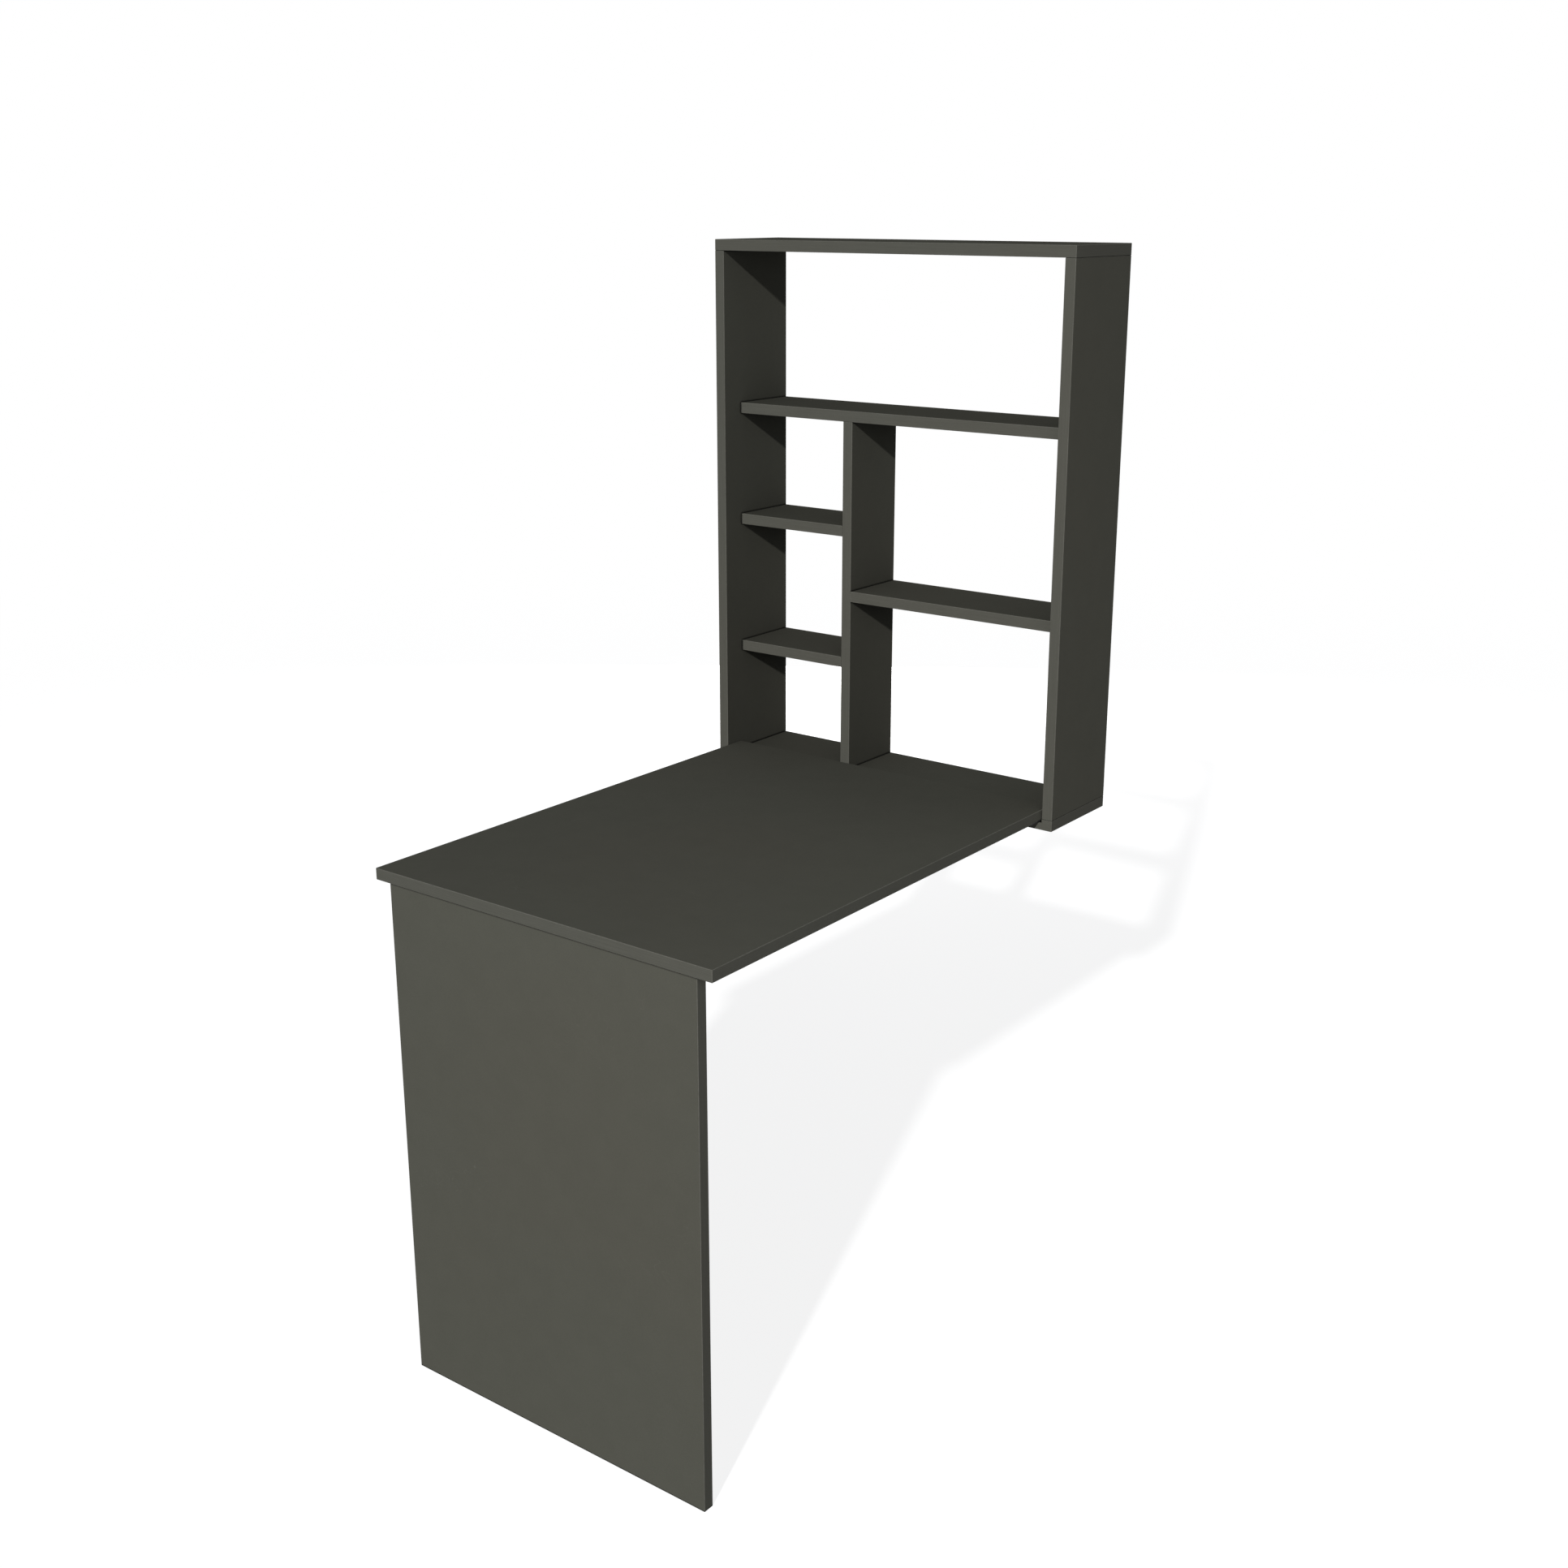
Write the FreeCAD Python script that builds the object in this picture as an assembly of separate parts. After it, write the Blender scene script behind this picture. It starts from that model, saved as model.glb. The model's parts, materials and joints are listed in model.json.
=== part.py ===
import FreeCAD, Part
import os

# Fold down wall desk: an open shelf cabinet that hangs on a wall, a desk board that turns on two
# pivots at the foot of the cabinet, and a panel leg hinged under the front of the desk.
# Millimetres. +X is to the right of someone who faces the wall, +Y points into the wall, +Z is up.
# The origin is the middle of the four keyholes, on the plane where the back meets the wall.
# The model is at rest with the desk down and the leg hanging straight.

# ---------------------------------------------------------------- boards
BOARD = 16.0                # thickness of every board
EDGE_BAND = 1.0             # thickness of the edging strips
EDGE_ROUND = 0.8            # rounding along the arrises

# ---------------------------------------------------------------- cabinet
CABINET_WIDTH = 600.0
CABINET_HEIGHT = 795.0
CABINET_DEPTH = 152.0
SHELF_SETBACK = 38.0        # shelves and divider stand back from the cabinet's front
LEFT_BAY = 191.0            # clear width from the left side to the divider
UPPER_SHELF_TOP = 557.0     # heights of the shelves' top faces above the cabinet's underside
LEFT_UPPER_TOP = 388.5
LEFT_LOWER_TOP = 189.5
RIGHT_SHELF_TOP = 291.5

# ---------------------------------------------------------------- desk
DESK_HEIGHT = 732.0         # desk top above the floor
REBATE_DEPTH = 5.0          # sinking of the bottom board's front that the desk lies in
REST_PAD = 1.0              # thickness of the pads that the desk rests on
REST_PAD_RADIUS = 6.0
REST_PAD_FRONT = 12.0       # from the cabinet's front to the pads' centres
REST_PAD_COUNT = 3
REST_PAD_SPACING = 200.0
FOLD_GAP = 0.5              # between the folded desk and the shelves' front edges
FOLDED_TOP_GAP = 9.8        # between the folded desk and the top board

# ---------------------------------------------------------------- desk pivots
PIVOT_RISE = 4.5            # pivot axis above the desk's underside
PIVOT_INSET = 2.0           # pivot axis in front of the desk's rear edge
EYE_RADIUS = 4.5            # round end of each pivot plate
PIVOT_PIN_RADIUS = 2.5
RUNNING = 0.05              # radial clearance of a pin that turns
PLATE = 1.6                 # thickness of the pivot plates' upright ears
WASHER = 0.4
WASHER_RADIUS = 4.2
END_PLAY = 0.1              # between the washer and the desk's plate
FOOT = 3.0                  # thickness of the cabinet plate's foot
FOOT_LENGTH = 40.0
FOOT_WIDTH = 30.0
FOOT_BACK_GAP = 1.0         # between the foot and the rebate's back wall
FOOT_BOLT_ENDS = (10.0, 30.0)   # foot bolts from the cabinet's side
FOOT_BOLT_STAGGER = 5.0     # each foot bolt off the foot's middle line
FOOT_BOLT_RADIUS = 2.0
FOOT_BOLT_HEAD_RADIUS = 3.8
FOOT_BOLT_HEAD = 2.0
FLANGE = 2.0                # thickness of the desk plate's flange
FLANGE_LENGTH = 50.0
FLANGE_WIDTH = 34.0
FLANGE_SCREW_EDGE = 7.0
EAR_LENGTH = 18.0           # desk plate's ear, forward of the pivot

# ---------------------------------------------------------------- leg
LEG_MARGIN = 23.8           # from the desk's side edge to the leg's side edge
LEG_SETBACK = 1.9           # leg's face behind the desk's front edge
LEG_TOP_GAP = 0.3
HINGE_COUNT = 3
HINGE_LENGTH = 60.0
HINGE_END = 70.0            # from the leg's side edge to the first hinge's middle
KNUCKLES = 5
KNUCKLE_RADIUS = 2.0
KNUCKLE_GAP = 0.3           # between a knuckle and everything that it turns past
HINGE_PIN_RADIUS = 1.0
LEAF = 1.2
LEAF_WIDTH = 24.0
LEAF_SCREW_LINE = 14.0      # from the hinge's axis to the row of screws
LEAF_SCREW_PITCH = 20.0
LEAF_SCREWS = 3

# ---------------------------------------------------------------- slide bolts that hold the folded desk
BAR_WIDTH = 8.0
BAR_THICKNESS = 3.0
BAR_SETBACK = 10.0          # tip of the drawn bar behind the desk's front edge
BAR_LENGTH = 88.0
BAR_PLAY = 0.15
BAR_ENGAGES = 8.0           # reach of the thrown bar into the top board
BOLT_INSET = 14.3           # from the desk's side edge to the bar's centre line
CASE_SHEET = 1.2
CASE_FRONT = 12.0           # from the desk's front edge to the case
CASE_LENGTH = 88.0
CASE_OUTBOARD = 10.0        # case's edges on either side of the bar's centre line
CASE_INBOARD = 7.5
STRAP_LENGTH = 8.0
STRAP_STARTS = (2.0, 50.0)  # from the case's front end
CASE_SCREW_PLACES = (6.0, 44.0, 82.0)
CASE_SCREW_EDGE = 2.3
KNOB_RADIUS = 2.5
KNOB_HEIGHT = 3.6
KNOB_RIM_ROUND = 0.8
KNOB_BACK = 46.0            # from the bar's tip to the knob
KNOB_STEM_RADIUS = 1.2
KEEPER_SHEET = 1.2
KEEPER_LENGTH = 32.0
KEEPER_WIDTH = 10.0
KEEPER_PLAY = 0.8
KEEPER_SCREW_SPACING = 22.0
MORTISE_SPARE = 3.0         # depth of the mortise beyond the thrown bar

# ---------------------------------------------------------------- joinery
DOWEL_RADIUS = 4.0
DOWEL_LENGTH = 30.0
DOWEL_IN_FACE = 10.0        # part of a dowel that sits in a board's face
DOWEL_FROM_EDGE = 19.0      # dowels stand this far from the front and back of a board
CAM_RADIUS = 7.5
CAM_DEPTH = 12.5
CAM_SLOT_LENGTH = 7.5       # screwdriver slot in the cam's face
CAM_SLOT_WIDTH = 2.0
CAM_SLOT_DEPTH = 2.0
CAM_DISTANCE = 34.0         # cam's centre from the shelf's end
CAM_BOLT_RADIUS = 3.0
CAM_BOLT_THREAD_RADIUS = 2.5
CAM_BOLT_THREAD = 10.0
CAM_BOLT_NECK_RADIUS = 1.8
CAM_BOLT_NECK = 4.0
CAM_BOLT_HEAD_RADIUS = 3.4
CAM_BOLT_HEAD = 2.6
CAM_CLEARANCE = 0.3
CONFIRMAT_FROM_EDGE = 24.0

# ---------------------------------------------------------------- wall fixing
KEYHOLE_FROM_END = 100.0    # keyholes from the cabinet's top and underside
KEYHOLE_ENTRY_RADIUS = 4.5
KEYHOLE_SLOT_RADIUS = 2.25
KEYHOLE_SLOT_RISE = 8.0
KEYHOLE_PLATE = 1.5
KEYHOLE_PLATE_WIDTH = 12.0
KEYHOLE_PLATE_LENGTH = 46.0
KEYHOLE_SCREW_SPACING = 36.0
KEYHOLE_POCKET_DEPTH = 8.0
KEYHOLE_POCKET_MARGIN = 0.5

# Countersunk screws: shank radius, head radius, head height, whole length.
HINGE_SCREW = (1.5, 2.9, 1.1, 13.0)
FLANGE_SCREW = (1.8, 3.4, 1.6, 13.0)
CASE_SCREW = (1.1, 2.1, 1.0, 11.0)
KEEPER_SCREW = (1.1, 2.1, 1.0, 11.0)
KEYHOLE_SCREW = (1.3, 2.5, 1.2, 16.0)
CONFIRMAT = (3.0, 4.9, 2.5, 50.0)
SCREW_HOLE_SPARE = 0.5      # a blind hole is this much deeper than what it holds
TIP_LENGTH = 1.5            # tapered tip, in shank radii
TIP_SHARPNESS = 3.0         # shank radius over the tip's end radius
CROSS_LENGTH = 0.6          # each arm of the drive recess, in head radii
CROSS_WIDTH = 0.3           # width of an arm, in head radii
CROSS_DEPTH = 0.6           # depth of the recess, in head heights

# ---------------------------------------------------------------- derived places
RIGHT = FreeCAD.Vector(1, 0, 0)
INWARD = FreeCAD.Vector(0, 1, 0)
UP = FreeCAD.Vector(0, 0, 1)
SIDES = ("left end", "right end", "front", "back", "under", "top")  # in the order of a board's limits

half_width = CABINET_WIDTH / 2
inner_half = half_width - BOARD
cabinet_front = -CABINET_DEPTH
shelf_front = cabinet_front + SHELF_SETBACK
cabinet_base = -CABINET_HEIGHT / 2
bottom_top = cabinet_base + BOARD
cabinet_head = CABINET_HEIGHT / 2
head_under = cabinet_head - BOARD
divider_left = -inner_half + LEFT_BAY
divider_right = divider_left + BOARD
upper_shelf_under = cabinet_base + UPPER_SHELF_TOP - BOARD

rebate_floor = bottom_top - REBATE_DEPTH
desk_under = rebate_floor + REST_PAD
desk_top = desk_under + BOARD
side_gap = PLATE + WASHER + END_PLAY + PLATE
desk_half = inner_half - side_gap
pivot_z = desk_under + PIVOT_RISE
pivot_y = shelf_front - FOLD_GAP - (BOARD - PIVOT_RISE)
desk_rear = pivot_y + PIVOT_INSET
desk_front = pivot_y - (head_under - FOLDED_TOP_GAP - pivot_z)
folded_under_y = pivot_y - PIVOT_RISE

leg_half = desk_half - LEG_MARGIN
leg_front = desk_front + LEG_SETBACK
leg_back = leg_front + BOARD
leg_top = desk_under - LEG_TOP_GAP
floor_z = desk_top - DESK_HEIGHT
hinge_offset = KNUCKLE_RADIUS + KNUCKLE_GAP
hinge_y = leg_back + hinge_offset
hinge_z = desk_under - hinge_offset

bar_top = desk_under - CASE_SHEET - BAR_PLAY
bar_under = bar_top - BAR_THICKNESS
bolt_x = desk_half - BOLT_INSET
bolt_travel = BAR_SETBACK + FOLDED_TOP_GAP + BAR_ENGAGES
mortise_depth = BAR_ENGAGES + MORTISE_SPARE

foot_bolt_length = rebate_floor - cabinet_base - SCREW_HOLE_SPARE
foot_bolt = (FOOT_BOLT_RADIUS, FOOT_BOLT_HEAD_RADIUS, FOOT_BOLT_HEAD, foot_bolt_length)


# ---------------------------------------------------------------- shapes that repeat
def point(x, y, z):
    return FreeCAD.Vector(x, y, z)


def box(x0, x1, y0, y1, z0, z1):
    return Part.makeBox(x1 - x0, y1 - y0, z1 - z0, point(x0, y0, z0))


def sided_box(side, near, far, y0, y1, z0, z1):
    """A box between two distances from the middle plane, on the left (-1) or the right (1)."""
    x0, x1 = sorted((side * near, side * far))
    return box(x0, x1, y0, y1, z0, z1)


def rod(start, direction, radius, length):
    return Part.makeCylinder(radius, length, start, direction)


def fused(first, *others):
    return first.fuse(list(others)).removeSplitter()


def aimed(shape, start, direction):
    """A shape drawn along +Z from the origin, turned to a direction and moved to its start."""
    moved = shape.copy()
    moved.Placement = FreeCAD.Placement(start, FreeCAD.Rotation(UP, direction))
    return moved


def runs_along(edge, direction):
    start, end = (v.Point for v in edge.Vertexes)
    return abs((end - start).dot(direction)) > (end - start).Length / 2


def edged_board(limits, edging, rounded_along=None):
    """A board and its edging strips.

    limits is x0, x1, y0, y1, z0, z1. edging lists the sides that carry a strip. The first strip runs
    the whole way and each later one runs between those before it. All arrises are rounded, or only
    the front ones that run along one direction, where the board's ends butt on others.
    """
    whole = box(*limits)
    if rounded_along is None:
        arrises = whole.Edges
    else:
        front = whole.BoundBox.YMin
        arrises = [
            e
            for e in whole.Edges
            if runs_along(e, rounded_along) and e.CenterOfMass.y < front + EDGE_BAND
        ]
    whole = whole.makeFillet(EDGE_ROUND, arrises)
    room = list(limits)
    strips = []
    for side in edging:
        place = SIDES.index(side)
        slab = list(room)
        if place % 2 == 0:
            room[place] += EDGE_BAND
            slab[place + 1] = room[place]
        else:
            room[place] -= EDGE_BAND
            slab[place - 1] = room[place]
        strips.append(whole.common(box(*slab)))
    return whole.common(box(*room)), strips


def screw(head, direction, size):
    """A countersunk screw with a cross recess, its head's face at head."""
    shank_radius, head_radius, head_height, length = size
    tip = shank_radius * TIP_LENGTH
    body = fused(
        Part.makeCone(head_radius, shank_radius, head_height),
        rod(point(0, 0, 0), UP, shank_radius, length - tip),
        Part.makeCone(shank_radius, shank_radius / TIP_SHARPNESS, tip, point(0, 0, length - tip)),
    )
    arm = head_radius * CROSS_LENGTH
    half = head_radius * CROSS_WIDTH / 2
    depth = head_height * CROSS_DEPTH
    cross = box(-arm, arm, -half, half, 0, depth).fuse(box(-half, half, -arm, arm, 0, depth))
    return aimed(body.cut(cross), head, direction)


def screw_hole(head, direction, size):
    shank_radius, head_radius, head_height, length = size
    cone = Part.makeCone(head_radius, shank_radius, head_height)
    hole = fused(cone, rod(point(0, 0, 0), UP, shank_radius, length + SCREW_HOLE_SPARE))
    return aimed(hole, head, direction)


# ---------------------------------------------------------------- the list of pieces and of holes
pieces = {}                 # node name: its solids
holes = {}                  # board name: what is cut out of it and its edging


def add(node, *solids):
    pieces.setdefault(node, []).extend(solids)


def cut_from(boards, *shapes):
    for board in boards:
        holes.setdefault(board, []).extend(shapes)


# ---------------------------------------------------------------- boards
def shelf_limits(x0, x1, top_height):
    top = cabinet_base + top_height
    return (x0, x1, shelf_front, 0, top - BOARD, top)


def board_list():
    """Each board's limits, its edged sides, and the direction of its rounded arrises where only some are."""
    full = (-half_width, half_width, cabinet_front, 0)
    left = (-half_width, -inner_half, cabinet_front, 0, bottom_top, head_under)
    right = (inner_half, half_width, cabinet_front, 0, bottom_top, head_under)
    divider = (divider_left, divider_right, shelf_front, 0, bottom_top, upper_shelf_under)
    desk = (-desk_half, desk_half, desk_front, desk_rear, desk_under, desk_top)
    leg = (-leg_half, leg_half, leg_front, leg_back, floor_z, leg_top)
    upper_shelf = shelf_limits(-inner_half, inner_half, UPPER_SHELF_TOP)
    left_upper = shelf_limits(-inner_half, divider_left, LEFT_UPPER_TOP)
    left_lower = shelf_limits(-inner_half, divider_left, LEFT_LOWER_TOP)
    right_shelf = shelf_limits(divider_right, inner_half, RIGHT_SHELF_TOP)
    front = ("front",)
    front_and_ends = ("front", "left end", "right end")
    return {
        "top_board": (full + (head_under, cabinet_head), front_and_ends, None),
        "bottom_board": (full + (cabinet_base, bottom_top), front_and_ends, None),
        "left_side": (left, front, None),
        "right_side": (right, front, None),
        "upper_shelf": (upper_shelf, front, RIGHT),
        "divider": (divider, front, UP),
        "left_upper_shelf": (left_upper, front, RIGHT),
        "left_lower_shelf": (left_lower, front, RIGHT),
        "right_shelf": (right_shelf, front, RIGHT),
        "desk_board": (desk, ("front", "back", "left end", "right end"), None),
        "leg_board": (leg, ("under", "top", "left end", "right end"), None),
    }


def make_boards():
    for name, (limits, edging, rounded_along) in board_list().items():
        core, strips = edged_board(limits, edging, rounded_along)
        cutters = holes.get(name, [])
        if cutters:
            core = core.cut(cutters)
            strips = [strip.cut(cutters) for strip in strips]
        add(name, core)
        add(name + "_edging", *strips)


# ---------------------------------------------------------------- carcass joinery
def dowel(joint, direction, face_board, end_board):
    """A dowel across a joint, running in its direction into the end of a board."""
    start = joint - direction * DOWEL_IN_FACE
    add("wood_dowels", rod(start, direction, DOWEL_RADIUS, DOWEL_LENGTH))
    spare = direction * SCREW_HOLE_SPARE
    bore = rod(start - spare, direction, DOWEL_RADIUS, DOWEL_LENGTH + 2 * SCREW_HOLE_SPARE)
    cut_from((face_board, end_board), bore)


def cam_and_bolt(x_end, inward, z_mid, face_board, shelf):
    """A cam in a shelf's underside, drawn up on a bolt that stands out of the upright beside it."""
    y = shelf_front / 2
    direction = RIGHT * inward
    joint = point(x_end, y, z_mid)
    centre = joint + direction * CAM_DISTANCE
    start = joint - direction * CAM_BOLT_THREAD
    head_end = CAM_DISTANCE + CAM_BOLT_HEAD_RADIUS
    shank_end = head_end - CAM_BOLT_HEAD - CAM_BOLT_NECK
    bolt = fused(
        rod(start, direction, CAM_BOLT_THREAD_RADIUS, CAM_BOLT_THREAD),
        rod(joint, direction, CAM_BOLT_RADIUS, shank_end),
        rod(joint, direction, CAM_BOLT_NECK_RADIUS, head_end),
        rod(joint + direction * (head_end - CAM_BOLT_HEAD), direction, CAM_BOLT_HEAD_RADIUS, CAM_BOLT_HEAD),
    )
    add("cam_bolts", bolt)
    under = z_mid - BOARD / 2
    foot = point(centre.x, y, under)
    cam = rod(foot, UP, CAM_RADIUS, CAM_DEPTH)
    passage = rod(joint, direction, CAM_BOLT_HEAD_RADIUS + CAM_CLEARANCE, head_end + CAM_CLEARANCE)
    arm = CAM_SLOT_LENGTH / 2
    half = CAM_SLOT_WIDTH / 2
    slot = box(foot.x - arm, foot.x + arm, y - half, y + half, under, under + CAM_SLOT_DEPTH)
    add("cam_locks", cam.cut([passage, slot]))
    bolt_bore = rod(joint, direction, CAM_BOLT_RADIUS, CAM_DISTANCE)
    cut_from((shelf,), rod(foot, UP, CAM_RADIUS, CAM_DEPTH), bolt_bore)
    thread_bore = rod(start, direction, CAM_BOLT_THREAD_RADIUS, CAM_BOLT_THREAD)
    cut_from((face_board,), thread_bore)


def make_joinery():
    side_middle = half_width - BOARD / 2
    for side, name in ((-1, "left_side"), (1, "right_side")):
        x = side * side_middle
        for y in (cabinet_front + DOWEL_FROM_EDGE, cabinet_front / 2, -DOWEL_FROM_EDGE):
            dowel(point(x, y, head_under), -UP, "top_board", name)
        dowel(point(x, cabinet_front / 2, bottom_top), UP, "bottom_board", name)
        for y in (cabinet_front + CONFIRMAT_FROM_EDGE, -CONFIRMAT_FROM_EDGE):
            head = point(x, y, cabinet_base)
            add("confirmat_screws", screw(head, UP, CONFIRMAT))
            cut_from(("bottom_board", name), screw_hole(head, UP, CONFIRMAT))
    divider_x = (divider_left + divider_right) / 2
    for y in (shelf_front + CONFIRMAT_FROM_EDGE, -CONFIRMAT_FROM_EDGE):
        head = point(divider_x, y, cabinet_base)
        add("confirmat_screws", screw(head, UP, CONFIRMAT))
        cut_from(("bottom_board", "divider"), screw_hole(head, UP, CONFIRMAT))
        dowel(point(divider_x, y, upper_shelf_under), -UP, "upper_shelf", "divider")
    shelves = (
        ("upper_shelf", UPPER_SHELF_TOP, (-inner_half, "left_side"), (inner_half, "right_side")),
        ("left_upper_shelf", LEFT_UPPER_TOP, (-inner_half, "left_side"), (divider_left, "divider")),
        ("left_lower_shelf", LEFT_LOWER_TOP, (-inner_half, "left_side"), (divider_left, "divider")),
        ("right_shelf", RIGHT_SHELF_TOP, (divider_right, "divider"), (inner_half, "right_side")),
    )
    for shelf, top_height, left_end, right_end in shelves:
        z = cabinet_base + top_height - BOARD / 2
        for (x, upright), inward in ((left_end, 1), (right_end, -1)):
            cam_and_bolt(x, inward, z, upright, shelf)
            for y in (shelf_front + DOWEL_FROM_EDGE, -DOWEL_FROM_EDGE):
                dowel(point(x, y, z), RIGHT * inward, upright, shelf)


# ---------------------------------------------------------------- keyhole plates in the sides' back edges
def keyhole(x, z, radius_margin, depth):
    """The keyhole's outline, cut from the wall plane to a depth, with a margin all round."""
    entry = rod(point(x, 0, z), -INWARD, KEYHOLE_ENTRY_RADIUS + radius_margin, depth)
    slot_radius = KEYHOLE_SLOT_RADIUS + radius_margin
    slot = box(x - slot_radius, x + slot_radius, -depth, 0, z, z + KEYHOLE_SLOT_RISE)
    end = rod(point(x, 0, z + KEYHOLE_SLOT_RISE), -INWARD, slot_radius, depth)
    return fused(entry, slot, end)


def make_keyholes():
    side_middle = half_width - BOARD / 2
    half_length = KEYHOLE_PLATE_LENGTH / 2
    half_plate = KEYHOLE_PLATE_WIDTH / 2
    middle_rise = KEYHOLE_SLOT_RISE / 2
    pocket = KEYHOLE_ENTRY_RADIUS + KEYHOLE_POCKET_MARGIN
    for side, name in ((-1, "left_side"), (1, "right_side")):
        for end in (-1, 1):
            x = side * side_middle
            z = end * (cabinet_head - KEYHOLE_FROM_END)
            middle = z + middle_rise
            blank = box(
                x - half_plate, x + half_plate, -KEYHOLE_PLATE, 0,
                middle - half_length, middle + half_length,
            )
            room = box(
                x - pocket, x + pocket, -KEYHOLE_PLATE - KEYHOLE_POCKET_DEPTH, -KEYHOLE_PLATE,
                z - pocket, z + KEYHOLE_SLOT_RISE + pocket,
            )
            plate = blank.cut(keyhole(x, z, 0, KEYHOLE_PLATE))
            cut_from((name,), blank, room)
            for way in (-1, 1):
                head = point(x, 0, middle + way * KEYHOLE_SCREW_SPACING / 2)
                add("keyhole_screws", screw(head, -INWARD, KEYHOLE_SCREW))
                cutter = screw_hole(head, -INWARD, KEYHOLE_SCREW)
                plate = plate.cut(cutter)
                cut_from((name,), cutter)
            add("keyhole_plates", plate)


# ---------------------------------------------------------------- desk pivots
def make_cabinet_pivot(side, node):
    """An angle plate let into the rebate's floor, with an ear that holds the pivot pin."""
    ear_front = pivot_y - EYE_RADIUS
    ear_back = pivot_y + EYE_RADIUS
    foot_back = shelf_front - FOOT_BACK_GAP
    foot_front = foot_back - FOOT_WIDTH
    ear_inner = inner_half - PLATE
    foot = sided_box(
        side, inner_half - FOOT_LENGTH, inner_half, foot_front, foot_back, rebate_floor - FOOT, rebate_floor
    )
    ear = sided_box(side, ear_inner, inner_half, ear_front, ear_back, rebate_floor - FOOT, pivot_z)
    eye = rod(point(side * ear_inner, pivot_y, pivot_z), RIGHT * side, EYE_RADIUS, PLATE)
    plate = fused(foot, ear, eye)
    cut_from(("bottom_board",), foot)
    pin_start = point(side * inner_half, pivot_y, pivot_z)
    pin_length = side_gap - END_PLAY
    pin = rod(pin_start, RIGHT * -side, PIVOT_PIN_RADIUS, pin_length)
    plate = plate.cut(pin)
    middle = (foot_front + foot_back) / 2
    for from_side, way in zip(FOOT_BOLT_ENDS, (1, -1)):
        x = inner_half - from_side
        head = point(side * x, middle + way * FOOT_BOLT_STAGGER, cabinet_base)
        add("pivot_foot_bolts", screw(head, UP, foot_bolt))
        cutter = screw_hole(head, UP, foot_bolt)
        plate = plate.cut(cutter)
        cut_from(("bottom_board",), cutter)
    add(node, plate)
    add("pivot_pins", pin)
    washer_start = point(side * ear_inner, pivot_y, pivot_z)
    washer = rod(washer_start, RIGHT * -side, WASHER_RADIUS, WASHER)
    bore = rod(washer_start, RIGHT * -side, PIVOT_PIN_RADIUS + RUNNING, WASHER)
    add("pivot_washers", washer.cut(bore))


def make_desk_pivot(side, node):
    """An angle plate let into the desk's underside, with an ear in the side gap that turns on the pin."""
    ear_outer = desk_half + PLATE
    flange_back = desk_rear - EDGE_BAND
    flange_front = flange_back - FLANGE_LENGTH
    flange = sided_box(
        side, desk_half - FLANGE_WIDTH, desk_half, flange_front, flange_back,
        desk_under, desk_under + FLANGE,
    )
    web = sided_box(
        side, desk_half, ear_outer, pivot_y - EAR_LENGTH, pivot_y, desk_under, pivot_z + EYE_RADIUS
    )
    eye = rod(point(side * desk_half, pivot_y, pivot_z), RIGHT * side, EYE_RADIUS, PLATE)
    bore = rod(point(side * desk_half, pivot_y, pivot_z), RIGHT * side, PIVOT_PIN_RADIUS + RUNNING, PLATE)
    plate = fused(flange, web, eye).cut(bore)
    cut_from(("desk_board",), flange)
    front_screw = flange_front + FLANGE_SCREW_EDGE
    rear_screw = flange_back - FLANGE_SCREW_EDGE
    inboard = desk_half - FLANGE_WIDTH + FLANGE_SCREW_EDGE
    outboard = desk_half - FLANGE_SCREW_EDGE
    for x, y in ((inboard, front_screw), (outboard, front_screw), (inboard, rear_screw)):
        head = point(side * x, y, desk_under)
        add("desk_pivot_screws", screw(head, UP, FLANGE_SCREW))
        cutter = screw_hole(head, UP, FLANGE_SCREW)
        plate = plate.cut(cutter)
        cut_from(("desk_board",), cutter)
    add(node, plate)


def make_rest_pads():
    for place in range(REST_PAD_COUNT):
        x = (place - (REST_PAD_COUNT - 1) / 2) * REST_PAD_SPACING
        centre = point(x, cabinet_front + REST_PAD_FRONT, rebate_floor)
        add("desk_rest_pads", rod(centre, UP, REST_PAD_RADIUS, REST_PAD))


# ---------------------------------------------------------------- leg hinges
def hinge_leaf(own_knuckles, cutters):
    """A leaf about an axis along X at the origin, flat on a face hinge_offset above it and reaching +Y."""
    pitch = HINGE_LENGTH / KNUCKLES
    half = HINGE_LENGTH / 2
    leaf = box(-half, half, 0, LEAF_WIDTH, hinge_offset - LEAF, hinge_offset)
    for place in range(KNUCKLES):
        x0 = -half + place * pitch
        if place in own_knuckles:
            start = point(x0 + KNUCKLE_GAP / 2, 0, 0)
            leaf = fused(leaf, rod(start, RIGHT, KNUCKLE_RADIUS, pitch - KNUCKLE_GAP))
    for place in range(KNUCKLES):
        x0 = -half + place * pitch
        if place not in own_knuckles:
            clear = hinge_offset
            reach = KNUCKLE_GAP / 2
            leaf = leaf.cut(box(x0 - reach, x0 + pitch + reach, -clear, clear, -clear, clear * 2))
    bore = rod(point(-half, 0, 0), RIGHT, HINGE_PIN_RADIUS + RUNNING, HINGE_LENGTH)
    return leaf.cut([bore] + cutters)


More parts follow.
